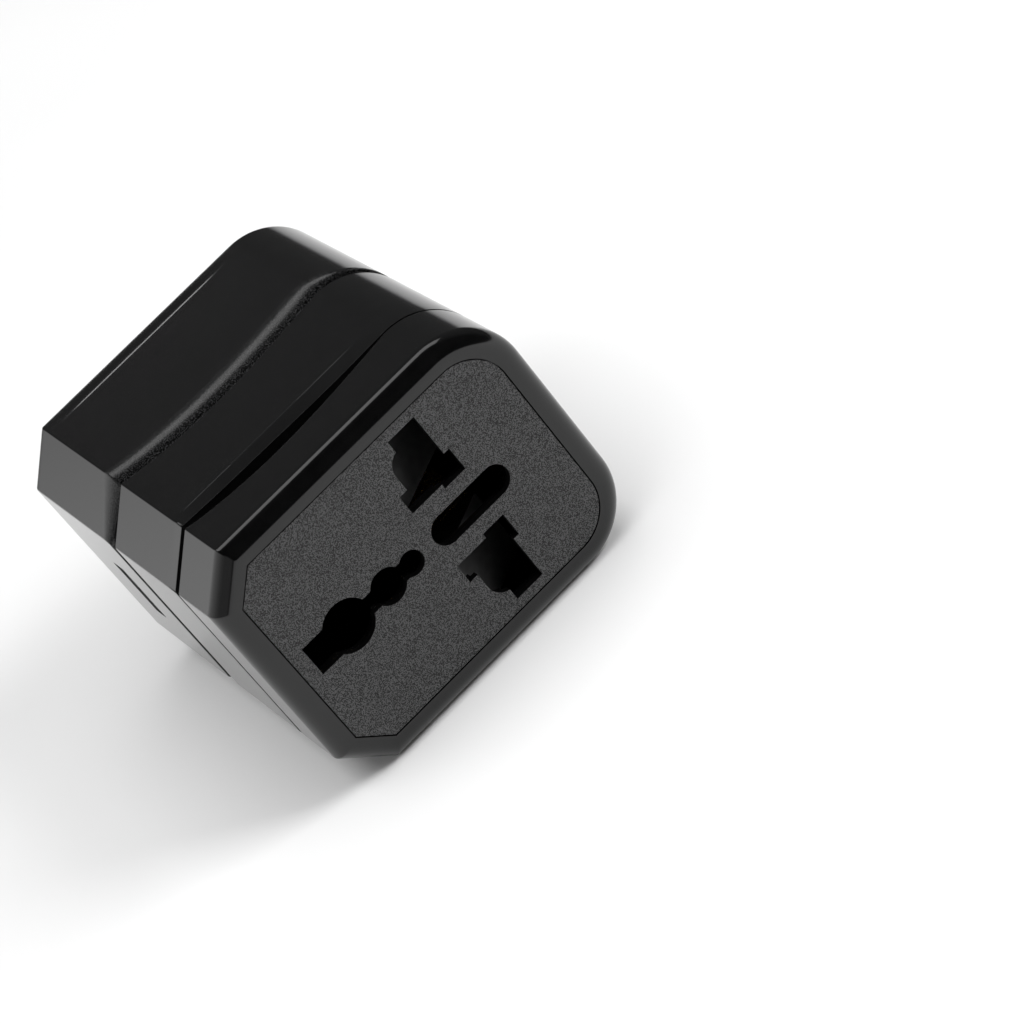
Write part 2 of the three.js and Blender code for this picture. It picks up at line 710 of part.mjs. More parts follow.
const MODULE_CONTACT = { front: 36, base: 49.3, sheet: 0.6, jawX: [-2.9, 2.3], z: [8.6, 13.6] };
const MODULE_TAIL = { x: [14.4, 15], end: 51.8, z: 11 };
const TRAY = { x: [-13.4, 10.0], y: [51.2, 56.0], floor: 0.8, half: 3.2, trough: 2.5, endWall: 0.7 };
const TRAY_BRIDGE = { x: [0, 4], half: 6.6 };

// Jaws round one UK pin, with a strip to the folding EU pin's barrel
function moduleContact() {
  const { front, base, sheet, jawX, z } = MODULE_CONTACT;
  const jaws = jawX.map((x) => box([LINE_X + x, LINE_X + x + sheet], [front, base + OVERLAP], z));
  return join(
    ...jaws,
    box([LINE_X + jawX[0], MODULE_TAIL.x[1]], [base, base + sheet], z),
    box(MODULE_TAIL.x, [base, MODULE_TAIL.end], [z[0], MODULE_TAIL.z]),
  );
}

// Two troughs behind the rear slots, joined by a bridge
function euPinTray() {
  const centre = EU_PIN.pitch / 2;
  const floor = TRAY.y[0] + TRAY.floor;
  const inside = box(
    [TRAY.x[0] + TRAY.endWall, TRAY.x[1] + 1],
    [floor, TRAY.y[1] + 1],
    around(centre, TRAY.trough),
  );
  const trough = cut(box(TRAY.x, TRAY.y, around(centre, TRAY.half)), inside);
  const bridge = box(TRAY_BRIDGE.x, [TRAY.y[0], floor], around(0, TRAY_BRIDGE.half));
  return join(trough, mirrored(trough), bridge);
}

// Folding EU pins

const PIN_ROOT = 1.3;
const BARREL_HOLE = { gap: 0.1, from: -6, to: -1.2 };

function euBarrel() {
  const hole = shifted([BARREL_HOLE.from, BARREL_HOLE.to], EU_AXIS.x);
  const pinHole = bar('x', EU_PIN.radius + BARREL_HOLE.gap, hole, [EU_AXIS.y, EU_PIN.pitch / 2], 20);
  const centre = [EU_AXIS.x, EU_AXIS.y];
  return cut(
    bar('z', EU_AXIS.radius, around(0, EU_AXIS.halfLength), centre, 24),
    pinHole,
    mirrored(pinHole),
    bar('z', AXLE_RADIUS + RUNNING, around(0, EU_AXIS.halfLength + 1), centre),
  );
}

// A round pin with a domed tip
function euPin() {
  const tip = EU_PIN.radius * 0.55;
  const length = EU_PIN.reach - PIN_ROOT;
  const profile = [
    new THREE.Vector2(0, 0),
    new THREE.Vector2(EU_PIN.radius, 0),
    new THREE.Vector2(EU_PIN.radius, length - tip),
    new THREE.Vector2(EU_PIN.radius * 0.8, length - tip * 0.4),
    new THREE.Vector2(EU_PIN.radius * 0.4, length),
    new THREE.Vector2(0, length),
  ];
  const geometry = new THREE.LatheGeometry(profile, 20);
  geometry.rotateZ(Math.PI / 2);
  geometry.translate(EU_AXIS.x - PIN_ROOT, EU_AXIS.y, EU_PIN.pitch / 2);
  return toSolid(geometry);
}

const EU_DETENT = { halfX: 3.4, y: [51.2, 51.5], halfZ: 5, bead: 0.3 };

function euDetentSpring() {
  const along = around(0, EU_DETENT.halfZ);
  return join(
    box(around(EU_AXIS.x, EU_DETENT.halfX), EU_DETENT.y, along),
    bar('z', EU_DETENT.bead, along, [EU_AXIS.x, EU_DETENT.y[1]], 8),
  );
}

// Folding US blades

const BARREL_SLOT = { halfX: 4, gap: 0.1, z: [1.2, 5] };

function usBarrel() {
  const slots = usBladeDepths().map((y) => box(
    around(US_AXIS.x, BARREL_SLOT.halfX),
    around(y, US_BLADE.thick / 2 + BARREL_SLOT.gap),
    shifted(BARREL_SLOT.z, US_AXIS.z),
  ));
  const centre = [US_AXIS.x, US_AXIS.z];
  return cut(
    bar('y', US_AXIS.radius, around(US_AXIS.y, US_AXIS.halfLength), centre, 24),
    bar('y', AXLE_RADIUS + RUNNING, around(US_AXIS.y, US_AXIS.halfLength + 1), centre),
    ...slots,
  );
}

function usBlade(y) {
  const half = US_BLADE.width / 2;
  const root = US_AXIS.z + PIN_ROOT;
  const tip = US_AXIS.z + US_BLADE.reach;
  const { corner } = US_BLADE;
  const shape = new THREE.Shape([
    new THREE.Vector2(US_AXIS.x - half, root),
    new THREE.Vector2(US_AXIS.x + half, root),
    new THREE.Vector2(US_AXIS.x + half, tip - corner),
    new THREE.Vector2(US_AXIS.x + half - corner, tip),
    new THREE.Vector2(US_AXIS.x - half + corner, tip),
    new THREE.Vector2(US_AXIS.x - half, tip - corner),
  ]);
  return prism(shape, around(y, US_BLADE.thick / 2));
}

const US_DETENT = { x: [17.1, 17.4], halfY: 4, halfZ: 3, bead: 0.25 };

function usDetentSpring() {
  const along = around(US_AXIS.y, US_DETENT.halfY);
  return join(
    box(US_DETENT.x, along, around(US_AXIS.z, US_DETENT.halfZ)),
    bar('y', US_DETENT.bead, along, [US_DETENT.x[1], US_AXIS.z], 8),
  );
}

// Assembly

function addPair(name, build, finish) {
  const solid = build();
  addNode(`${name}_live`, solid, finish);
  addNode(`${name}_neutral`, mirrored(solid), finish);
}

function buildMainUnit() {
  addNode('front_housing', frontHousing(), 'gloss');
  addNode('socket_face', socketFace(), 'grained');
  addNode('rear_housing', rearHousing(), 'gloss');
  addPair('shutter', shutter, 'satin');
  addPair('shutter_spring', shutterSpring, 'steel');
  addPair('socket_contact', lineContact, 'brass');
  addNode('socket_contact_earth', earthContact(), 'brass');
  addNode('contact_carrier', contactCarrier(), 'insulator');
  addNode('fuse', fuse(), 'ceramic');
  addNode('fuse_clip_line_side', fuseClip(FUSE.x[1] - FUSE.capLength / 2), 'brass');
  addNode('fuse_clip_pin_side', fuseClip(FUSE.x[0] + FUSE.capLength / 2), 'brass');
  addNode('live_bus_bar', liveBusBar(), 'brass');
  addPair('uk_pin', () => plugPin(
    around(LINE_X, UK_PIN.thick / 2),
    around(LINE_PIN_Z, UK_PIN.along / 2),
    UK_PIN,
  ), 'nickel');
  addNode('uk_pin_earth', plugPin(
    around(EARTH_PIN_X, UK_EARTH.along / 2),
    around(0, UK_EARTH.thick / 2),
    UK_EARTH,
  ), 'nickel');
  SCREWS.forEach((screw) => addNode(`shell_screw_${screw.name}`, shellScrew(screw), 'steel'));
}

function buildTravelModule() {
  addNode('travel_housing', travelHousing(), 'gloss');
  addNode('module_plate', modulePlate(), 'insulator');
  addNode('label_bar', labelBar(), 'satin');
  addPair('module_contact', moduleContact, 'brass');
  addNode('eu_pin_tray', euPinTray(), 'insulator');
  addNode('eu_detent_spring', euDetentSpring(), 'steel');
  addNode('us_detent_spring', usDetentSpring(), 'steel');
  const euAxleSpan = around(0, EU_AXLE_HOLE_HALF - 2 * OVERLAP);
  const usAxleSpan = widened(US_AXLE_HOLE, -OVERLAP);
  addNode('eu_axle', bar('z', AXLE_RADIUS, euAxleSpan, [EU_AXIS.x, EU_AXIS.y]), 'steel');
  addNode('us_axle', bar('y', AXLE_RADIUS, usAxleSpan, [US_AXIS.x, US_AXIS.z]), 'steel');
  MODULE_SCREWS.forEach((screw) => addNode(`module_screw_${screw.name}`, moduleScrew(screw), 'steel'));
}

function buildFoldingPlugs() {
  addNode('eu_barrel', euBarrel(), 'satin');
  addPair('eu_pin', euPin, 'nickel');
  addNode('us_barrel', usBarrel(), 'satin');
  const [front, rear] = usBladeDepths();
  addNode('us_blade_front', usBlade(front), 'nickel');
  addNode('us_blade_rear', usBlade(rear), 'nickel');
}

buildMainUnit();
buildTravelModule();
buildFoldingPlugs();

// The adapter lies on one long side, centred over the origin, with the socket face towards -Y
adapter.position.set(0, -DEPTH / 2, HALF_WIDTH);

export default adapter;
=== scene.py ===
"""Looks for the universal travel adapter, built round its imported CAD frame."""

import json
import math

import bmesh
import bpy
import numpy as np
from mathutils import Matrix, Vector


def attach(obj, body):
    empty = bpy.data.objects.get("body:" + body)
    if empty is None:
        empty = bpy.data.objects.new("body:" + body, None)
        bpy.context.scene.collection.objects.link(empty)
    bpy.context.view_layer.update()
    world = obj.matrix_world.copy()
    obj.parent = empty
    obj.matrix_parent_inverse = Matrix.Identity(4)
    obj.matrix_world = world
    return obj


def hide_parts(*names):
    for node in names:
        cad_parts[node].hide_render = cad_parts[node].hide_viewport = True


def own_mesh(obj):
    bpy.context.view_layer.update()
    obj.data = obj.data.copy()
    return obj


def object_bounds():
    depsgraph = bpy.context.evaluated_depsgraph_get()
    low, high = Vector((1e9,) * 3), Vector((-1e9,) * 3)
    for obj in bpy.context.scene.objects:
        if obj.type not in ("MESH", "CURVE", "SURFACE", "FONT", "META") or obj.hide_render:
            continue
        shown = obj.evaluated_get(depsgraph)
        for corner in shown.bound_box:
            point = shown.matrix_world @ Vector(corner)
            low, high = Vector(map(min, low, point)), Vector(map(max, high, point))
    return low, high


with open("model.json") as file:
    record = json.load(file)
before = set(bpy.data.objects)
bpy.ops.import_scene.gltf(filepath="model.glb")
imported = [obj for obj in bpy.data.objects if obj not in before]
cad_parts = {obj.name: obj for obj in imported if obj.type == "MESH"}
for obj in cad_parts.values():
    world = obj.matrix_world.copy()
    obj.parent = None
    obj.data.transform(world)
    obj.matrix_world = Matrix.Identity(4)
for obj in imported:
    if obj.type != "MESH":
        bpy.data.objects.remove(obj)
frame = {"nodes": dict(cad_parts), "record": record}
CAD_LOW, CAD_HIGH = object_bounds()
MM = 0.001

# Sizes in millimetres, in the adapter's own coordinates: x along the long side of the socket
# face towards its rounded end, y the depth behind that face, z across it.
HALF_LENGTH = CAD_HIGH.x / MM
HALF_DEPTH = CAD_HIGH.y / MM
HALF_WIDTH = CAD_HIGH.z / 2 / MM
DEPTH = 2 * HALF_DEPTH
CHAMFER = 5.9
CHAMFER_FILLET = 0.5
CORNER_RADIUS = 9.5
FRONT_ROUND = 2.5
REAR_ROUND = 1.3
WALL = 1.8
GAP = 0.3
EDGE = 0.14
THIN_EDGE = 0.05

SEAM_FRONT = 11.1
SEAM_REAR = 30.8
SEAM_BOW = 2.3
BOW_START = -18.9
BOW_END = 15.3
FRONT_GAP = {"chamfered": 0.9, "rounded": 0.3, "start": -8, "end": 10}
BEVEL = {"end": 14.5, "drop": 0.35, "step": 0.07}
ROLL = {"length": 5.2, "radius": 5.3, "drop": 1.7}
CHAMFER_WEIGHT = 0.35
LIP = {"inset": 1.2, "length": 2.0, "round": 0.3, "drop": 0.8}
CROWN = {"y": 55.0, "half": 1.0, "drop": 0.075}
CROWN_PROFILE = ((-1, 0), (-0.5, 0.5), (0, 1), (0.5, 0.5), (1, 0))

PANEL_INSET = 3.45
PANEL_SETBACK = 0.05
PANEL_THICKNESS = 1.0
PANEL_GAP = 0.11
FRONT_WALL = (1.35, 2.6)
MAIN_CAVITY_END = 26.6
SKIRT_FROM = 7.0
SKIRT_INSET = WALL + GAP
SKIRT_INNER = SKIRT_INSET + 1.2
FLANGE_END = SEAM_FRONT + 2.4
MODULE_FRONT = 0.4
MODULE_INSET = 3.0
MODULE_STEP = 36.4
MODULE_CAVITY_END = 56.3

LINE_X = 7.14
LINE_PIN_Z = 11.1
EARTH_PIN_X = LINE_X - 22.2
UK_PIN = {"along": 6.35, "thick": 4.0, "length": 17.7, "sleeve": 9.0, "root": 22.9, "collar": 0.5}
UK_EARTH = {"along": 8.0, "thick": 4.0, "length": 22.7, "root": 24.2}
UK_COLLAR_LENGTH = 1.3
UK_PIN_CORNER = 0.35
UK_SLEEVE_STEP = {"length": 0.05, "inset": 0.06}
UK_TIP = {"length": 1.6, "inset": 1.0, "degrees": 75, "stations": 6}
EU_AXIS = {"x": 13.5, "y": 55.0, "radius": 2.8, "half": 13.0}
EU_PIN = {"radius": 2.0, "z": 9.5, "reach": 22.1, "sleeve": 10.0, "root": 1.3, "tip": 1.4}
EU_SLEEVE_INSET = 0.1
EU_HOLE = {"from": 6, "to": 1.2, "gap": 0.1}
EU_BORE_SPAN = (-20, 20)
EU_WINDOW = {"half": (3.1, 13.4), "corner": 0.6, "from": 51.9}
EU_SLOT = {"x": 0.45, "half": (13.05, 2.35), "corner": 1.2, "from": 53}
US_AXIS = {"x": 20.9, "y": 44.0, "z": -10.2, "radius": 2.9, "half": 8.6}
HUB_GAP = 0.3
HUB_END_GAP = 0.2
US_BLADE = {"width": 6.35, "thick": 1.5, "pitch": 12.7, "reach": 21.0, "root": 1.3, "corner": 1.2}
US_BLADE_HOLE = {"radius": 1.6, "from_tip": 4.6, "reach": 2}
US_BARREL_SLOT = {"z": 3.1, "gap": 0.1, "half_z": 1.9, "corner": 0.1, "reach": 4}
US_BORE_SPAN = (30, 60)
US_SLOT = {"z": 9.05, "half": (1.05, 12.65), "corner": 0.3, "from": 17.4}
BARREL_END = ((0, 0.3), (0.1, 0.08), (0.3, 0))
AXLE_BORE = 0.96
US_AXLE_HOLE = (34, 54.2)
SHELL_SCREWS = {
    "upper_rounded": (17.2, 12.0),
    "lower_rounded": (17.2, -12.0),
    "upper_chamfered": (-17.5, 11.4),
    "lower_chamfered": (-17.5, -11.4),
}
MODULE_SCREWS = {
    "upper_rounded": (13.8, 12.8),
    "lower_rounded": (13.8, -12.8),
    "upper_chamfered": (-18.4, 10.5),
    "lower_chamfered": (-18.4, -10.5),
}
COIL = {"x": (-14.65, 0.27), "centre": (6.0, 9.4), "radius": 1.6, "wire": 0.25, "turns": 9}
COIL_STEPS = {"turn": 24, "section": 10}
ROD = {"tip": (5, 0.6), "lead": (4.8, 0.8), "root": (-0.5, 0.8)}
SHUTTER = {"x": (0.6, 10.8), "lip": 2.2, "z": (4.2, 14.6), "front": 2.9, "slope_end": 8.4, "back": 9.2}
SHUTTER_LIP_ROUND = 1.5
LABEL = {"y": 44.0, "half_y": 1.45, "z": (-5.4, 3.9), "thickness": 0.3, "corner": 0.3, "sunk": 0.05}
LABEL_EDGE = ((0.12, 0), (0.04, 0.03), (0, 0.12))
LABEL_POCKET = {"gap": 0.2, "depth": 0.5}
SHELL_SCREW = {"shaft": 1.1, "head": 2.1, "stations": (4.2, 28.3, 29.5)}
MODULE_SCREW = {"shaft": 0.8, "head": 1.7, "stations": (40, 32.7, 31.9)}
SCREW_CROWN = ((0.4, 1), (0.8, 0.85))
SCREW_TOP = 0.6
SCREW_RECESS = {"reach": 0.6, "half_width": 0.25, "depth": 0.35, "corner": 0.1}
FUSE = {"x": -7.0, "centre": (18.0, 10.0), "half": 7.5, "cap": 2.5, "tube": 2.2, "cap_length": 3.2}

# Edges as pairs of an inset and a depth, then the cutters for the holes
FACE_EDGE = ((0, 0.08), (0.02, 0.02), (0.08, 0))
PANEL_EDGE = ((0.1, 0), (0.03, 0.03), (0, 0.1))
OVERCUT = 1
WALL_APERTURE_GROWTH = 0.5
LINE_PIN_HOLE = (2.15, 3.33)
EARTH_PIN_HOLE = (4.15, 2.15)
PIN_WALL_CUT = (20, 40)
SCREW_HOLE = 1.4
SCREW_SEAT = {"radius": 2.4, "from": 28.0}
REAR_CUT_END = 60
END_CUT = 26

# Floor, light and camera: places in frame metres, lens and sensor in millimetres
FLOOR = {"reach": 3.0, "height": -0.0002}
LIGHTS_AIM = (0, 0, 0.02)
CAMERA = {
    "lens": 143.6,
    "sensor": 36,
    "clip": (0.01, 20),
    "place": (-0.0676, -0.44685, 0.2755),
    "forward": (0.158, 0.837, -0.523),
    "up": (0.697, 0.281, 0.659),
}
SKY_STOPS = [(0.0, 0.08), (0.45, 0.115), (0.62, 0.12), (0.8, 0.1), (0.93, 0.02), (1.0, 0.012)]
SIDE_WALL = {"x": (-0.36, -0.5), "z": (0.72, 0.5), "y": (-0.4, 0.8), "strength": (0.35, 1.15)}
DIM_FRONT = {"y": (-0.15, 0.15), "strength": (0.15, 1)}


def placed(x, y, z):
    """Adapter millimetres to frame metres."""
    return (x * MM, (y - HALF_DEPTH) * MM, (z + HALF_WIDTH) * MM)


# The cross-section of the body


def arc(cx, cz, radius, start, end, steps):
    """Points on an arc, angles in degrees from +x towards +z."""
    angles = np.radians(np.linspace(start, end, steps + 1))
    return [(cx + radius * math.cos(a), cz + radius * math.sin(a)) for a in angles]


def fillet(corner, before, after, radius, steps=5):
    """Points that round the corner between two neighbours."""
    corner, before, after = (np.array(p, float) for p in (corner, before, after))
    u = (before - corner) / np.linalg.norm(before - corner)
    v = (after - corner) / np.linalg.norm(after - corner)
    half = math.acos(np.clip(u @ v, -1, 1)) / 2
    reach = radius / math.tan(half)
    middle = (u + v) / np.linalg.norm(u + v)
    centre = corner + middle * radius / math.sin(half)
    start = corner + u * reach - centre
    end = corner + v * reach - centre
    turn = math.atan2(start[0] * end[1] - start[1] * end[0], start @ end)
    points = []
    for k in range(steps + 1):
        a = turn * k / steps
        c, s = math.cos(a), math.sin(a)
        points.append(tuple(centre + (start[0] * c - start[1] * s, start[0] * s + start[1] * c)))
    return points


def outline(inset, side_steps=34, corner_steps=20):
    """The upper half of the outline, from the chamfered end to the rounded end."""
    length, width = HALF_LENGTH - inset, HALF_WIDTH - inset
    chamfer = CHAMFER - inset * (2 - math.sqrt(2))
    radius = CORNER_RADIUS - inset
    low = (-length, width - chamfer)
    high = (-length + chamfer, width)
    small = max(CHAMFER_FILLET - inset * 0.1, 0.15)
    points = fillet(low, (-length, 0), high, small)
    points += fillet(high, low, (0, width), small)
    side_start, side_end = points[-1][0], length - radius
    for k in range(1, side_steps):
        points.append((side_start + (side_end - side_start) * k / side_steps, width))
    points += arc(side_end, width - radius, radius, 90, 0, corner_steps)
    return points


def smoothstep(x, low, high):
    t = min(max((x - low) / (high - low), 0), 1)
    return t * t * (3 - 2 * t)


def mix(a, b, part):
    return a + (b - a) * part


def bow(x):
    """How far the seams on the long sides bow towards the socket face, from 0 to 1."""
    t = min(max((x - BOW_START) / (BOW_END - BOW_START), 0), 1)
    return math.sin(math.pi * t ** 0.8)


def side_weight(x):
    """Full on the long sides, less over the chamfers, and nothing at the rounded end."""
    chamfered_end = mix(CHAMFER_WEIGHT, 1, smoothstep(x, -HALF_LENGTH, BOW_START))
    return chamfered_end * (1 - smoothstep(x, BOW_END - 3, HALF_LENGTH - 2))


def seam_front(x):
    return SEAM_FRONT - SEAM_BOW * bow(x)


def seam_rear(x):
    return SEAM_REAR - SEAM_BOW * bow(x)


def ring(inset, depth, drop=None):
    """A loop of a shell: an inset, and functions of x for its depth and its drop."""
    return (inset, depth if callable(depth) else (lambda x: depth), drop or (lambda x: 0))


def quarter(radius, steps):
    """(inset, depth) pairs of a quarter round, from its front to its side."""
    angles = np.radians(np.linspace(0, 90, steps + 1))
    return [(radius * (1 - math.sin(a)), radius * (1 - math.cos(a))) for a in angles]


# Meshes


def new_object(name, vertices, faces, slots=None):
    mesh = bpy.data.meshes.new(name)
    mesh.from_pydata([placed(*v) for v in vertices], [], faces)
    if slots:
        for _ in range(max(slots) + 1):
            mesh.materials.append(None)
        mesh.polygons.foreach_set("material_index", slots)
    work = bmesh.new()
    work.from_mesh(mesh)
    bmesh.ops.recalc_face_normals(work, faces=work.faces)
    work.to_mesh(mesh)
    work.free()
    made = bpy.data.objects.new(name, mesh)
    bpy.context.collection.objects.link(made)
    return made


def shell_object(name, rings, bands=None):
    """A closed body over rings from front to rear, with a material index for each band."""
    vertices, faces, slots = [], [], []
    bands = bands or [0] * (len(rings) - 1)
    count = len(outline(0))
    for inset, depth, drop in rings:
        points = outline(inset)
        vertices += [(x, depth(x), z - drop(x)) for x, z in points]
        vertices += [(x, depth(x), -z + drop(x)) for x, z in reversed(points)]
    loop = 2 * count
    for k, band in enumerate(bands):
        for i in range(loop):
            j = (i + 1) % loop
            faces.append((k * loop + i, k * loop + j, (k + 1) * loop + j, (k + 1) * loop + i))
            slots.append(band)
    last = (len(rings) - 1) * loop
    for i in range(count - 1):
        far = loop - 1 - i
        faces.append((i, far, far - 1, i + 1))
        faces.append((last + i, last + i + 1, last + far - 1, last + far))
        slots += [bands[0], bands[-1]]
    return new_object(name, vertices, faces, slots)


def stack_object(name, rings, bands=None):
    """A closed body over rings of (x, y, z) points, all of one count, with flat ends."""
    bands = bands or [0] * (len(rings) - 1)
    count = len(rings[0])
    vertices = [point for points in rings for point in points]
    faces = [tuple(range(count)), tuple(len(vertices) - 1 - i for i in range(count))]
    slots = [bands[0], bands[-1]]
    for k, band in enumerate(bands):
        for i in range(count):
            j = (i + 1) % count
            faces.append((k * count + i, k * count + j, (k + 1) * count + j, (k + 1) * count + i))
            slots.append(band)
    return new_object(name, vertices, faces, slots)


def on_axis(axis, along, a, b):
    """A point at a distance along one axis, and at a and b on the other two in order."""
    return {"x": (along, a, b), "y": (a, along, b), "z": (a, b, along)}[axis]


def turned_object(name, axis, centre, profile, bands=None, steps=48):
    """A round body about an axis, from (position, radius) pairs."""
    rings = []
    for along, radius in profile:
        rings.append([on_axis(axis, along, a, b) for a, b in arc(*centre, radius, 0, 360, steps)[:-1]])
    return stack_object(name, rings, bands)


def prism_object(name, outlines, span, axis="y"):
    """Straight prisms of outlines between two positions along an axis, as one object."""
    vertices, faces = [], []
    for points in outlines:
        first, n = len(vertices), len(points)
        for along in span:
            vertices += [on_axis(axis, along, a, b) for a, b in points]
        faces.append([first + i for i in range(n)])
        faces.append([first + n + i for i in reversed(range(n))])
        for i in range(n):
            j = (i + 1) % n
            faces.append((first + j, first + i, first + n + i, first + n + j))
    return new_object(name, vertices, faces)


def rectangle(x, z, half_x, half_z, corner=0.25):
    low_x, high_x = x - half_x, x + half_x
    low_z, high_z = z - half_z, z + half_z
    corners = [(low_x, low_z), (high_x, low_z), (high_x, high_z), (low_x, high_z)]
    points = []
    for k, c in enumerate(corners):
        points += fillet(c, corners[k - 1], corners[(k + 1) % 4], corner, 3)
    return points


def circle(x, z, radius, steps=32):
    return arc(x, z, radius, 0, 360, steps)[:-1]


def apply_modifiers(obj):
    graph = bpy.context.evaluated_depsgraph_get()
    mesh = bpy.data.meshes.new_from_object(obj.evaluated_get(graph))
    obj.modifiers.clear()
    old = obj.data
    obj.data = mesh
    bpy.data.meshes.remove(old)


def combine(obj, other, operation="DIFFERENCE"):
    """Cuts the other object out of this one, or joins it on."""
    modifier = obj.modifiers.new("combine", "BOOLEAN")
    modifier.operation = operation
    modifier.solver = "EXACT"
    modifier.object = other
    apply_modifiers(obj)
    bpy.data.objects.remove(other)


def finish_edges(obj, width, angle=55, segments=2):
    """Rounds the sharp edges where there is a width, and evens the normals of the flat faces."""
    mesh = bmesh.new()
    mesh.from_mesh(obj.data)
    bmesh.ops.remove_doubles(mesh, verts=mesh.verts, dist=0.002 * MM)
    bmesh.ops.recalc_face_normals(mesh, faces=mesh.faces)
    mesh.to_mesh(obj.data)
    mesh.free()
    obj.data.shade_smooth()
    if width:
        bevel = obj.modifiers.new("edges", "BEVEL")
        bevel.width = width * MM
        bevel.segments = segments
        bevel.limit_method = "ANGLE"
        bevel.angle_limit = math.radians(angle)
        bevel.use_clamp_overlap = True
        bevel.miter_outer = "MITER_ARC"
        apply_modifiers(obj)
    keep_sharp_edges(obj)
    normals = obj.modifiers.new("normals", "WEIGHTED_NORMAL")
    normals.keep_sharp = True
    normals.weight = 100
    apply_modifiers(obj)


def keep_sharp_edges(obj, angle=48):
    mesh = bmesh.new()
    mesh.from_mesh(obj.data)
    for edge in mesh.edges:
        edge.smooth = edge.calc_face_angle(0) < math.radians(angle)
    mesh.to_mesh(obj.data)
    mesh.free()


# Apertures of the socket


def mirrored(points):
    return [(x, -z) for x, z in points]


def line_aperture(grow=0.0):
    """UK slot, US and Australian slot and round EU hole merged, for z above 0."""
    g = grow
    side, inner = -4.1 - g, 7.8 + g
    centre, radius = (-1.6, 10.2), 2.5 + g
    end = math.degrees(math.acos((-2.2 - g - centre[0]) / radius))
    points = [(2.2 + g, 14.4 + g), (2.2 + g, inner), (3.1 + g, inner), (3.1 + g, 4.2 - g)]
    points += [(-0.4 - g, 4.2 - g), (-0.4 - g, 4.9 - g), (-5.4 - g, 4.9 - g), (-5.4 - g, inner)]
    points += [(side, inner)] + arc(*centre, radius, 180, end, 10)
    points += [(-2.2 - g, 14.4 + g)]
    return [(LINE_X + x, z) for x, z in points]


def centre_aperture(grow=0.0):
    radius = 2.15 + grow
    points = arc(LINE_X + 4.9, 0, radius, -90, 90, 16)
    return points + arc(LINE_X - 3.4, 0, radius, 90, 270, 16)


def earth_aperture(grow=0.0):
    """UK earth slot merged with round holes that shrink towards the line apertures."""
    mouth, neck = 2.3 + grow, 1.3 + grow
    big, mid, small = 3.6 + grow, 2.5 + grow, 1.75 + grow

    def edge(radius, height, side):
        return math.degrees(math.atan2(height, side * math.sqrt(radius ** 2 - height ** 2)))

    upper = [(-26.4 - grow, mouth)]
    upper += arc(-20.2, 0, big, edge(big, mouth, -1), edge(big, neck, 1), 14)
    upper += arc(-13.4, 0, mid, edge(mid, neck, -1), edge(mid, neck, 1), 12)
    upper += arc(-9.4, 0, small, edge(small, neck, -1), 0, 10)
    points = upper + [(x, -z) for x, z in reversed(upper[:-1])]
    return [(LINE_X + x, z) for x, z in points]


def apertures(grow=0.0):
    line = line_aperture(grow)
    return [line, mirrored(line), centre_aperture(grow), earth_aperture(grow)]


# Procedural materials


class Look:
    """A node material under construction."""

    def __init__(self, name):
        self.material = bpy.data.materials.new(name)
        self.material.use_nodes = True
        self.tree = self.material.node_tree
        self.tree.nodes.clear()
        self.shader = self.node("ShaderNodeBsdfPrincipled")
        output = self.node("ShaderNodeOutputMaterial")
        self.link(self.shader.outputs["BSDF"], output.inputs["Surface"])
        self.where = self.node("ShaderNodeTexCoord").outputs["Object"]

    def node(self, kind):
        return self.tree.nodes.new(kind)

    def link(self, start, end):
        self.tree.links.new(start, end)

    def noise(self, size_mm, detail, stretch=(1, 1, 1)):
        """Noise whose features are about size_mm across."""
        mapping = self.node("ShaderNodeMapping")
        mapping.inputs["Scale"].default_value = stretch
        self.link(self.where, mapping.inputs["Vector"])
        noise = self.node("ShaderNodeTexNoise")
        noise.inputs["Scale"].default_value = 1 / (size_mm * MM)
        noise.inputs["Detail"].default_value = detail
        self.link(mapping.outputs["Vector"], noise.inputs["Vector"])
        return noise.outputs["Fac"]

    def spread(self, value, low, high, start=0.3, end=0.7):
        """Maps the middle of a 0 to 1 value on to a range of roughness."""
        ranged = self.node("ShaderNodeMapRange")
        ranged.inputs["From Min"].default_value = start
        ranged.inputs["From Max"].default_value = end
        ranged.inputs["To Min"].default_value = low
        ranged.inputs["To Max"].default_value = high
        self.link(value, ranged.inputs["Value"])
        return ranged.outputs["Result"]

    def colours(self, value, dark, light, start=0.35, end=0.65):
        ramp = self.node("ShaderNodeValToRGB")
        ramp.color_ramp.elements[0].position = start
        ramp.color_ramp.elements[1].position = end
        ramp.color_ramp.elements[0].color = (*dark, 1)
        ramp.color_ramp.elements[1].color = (*light, 1)
        self.link(value, ramp.inputs["Fac"])
        self.link(ramp.outputs["Color"], self.shader.inputs["Base Color"])

    def rough(self, value, low, high):
        self.link(self.spread(value, low, high), self.shader.inputs["Roughness"])

    def bump(self, value, height_mm, strength):
        bump = self.node("ShaderNodeBump")
        bump.inputs["Strength"].default_value = strength
        bump.inputs["Distance"].default_value = height_mm * MM
        self.link(value, bump.inputs["Height"])
        self.link(bump.outputs["Normal"], self.shader.inputs["Normal"])


def gloss_plastic():
    look = Look("gloss_black_plastic")
    look.colours(look.noise(2.5, 3), (0.0018, 0.0018, 0.0019), (0.0026, 0.0026, 0.0027))
    look.rough(look.noise(5.0, 4), 0.112, 0.122)
    look.bump(look.noise(0.12, 2), 0.0004, 0.35)
    look.shader.inputs["IOR"].default_value = 1.5
    return look.material


def roll_plastic():
    look = Look("grained_roll_plastic")
    look.colours(look.noise(0.15, 0), (0.0, 0.0, 0.0), (0.02, 0.02, 0.0205), 0.46, 0.64)
    look.rough(look.noise(0.3, 3), 0.2, 0.27)
    look.bump(look.noise(0.17, 0), 0.007, 0.9)
    return look.material


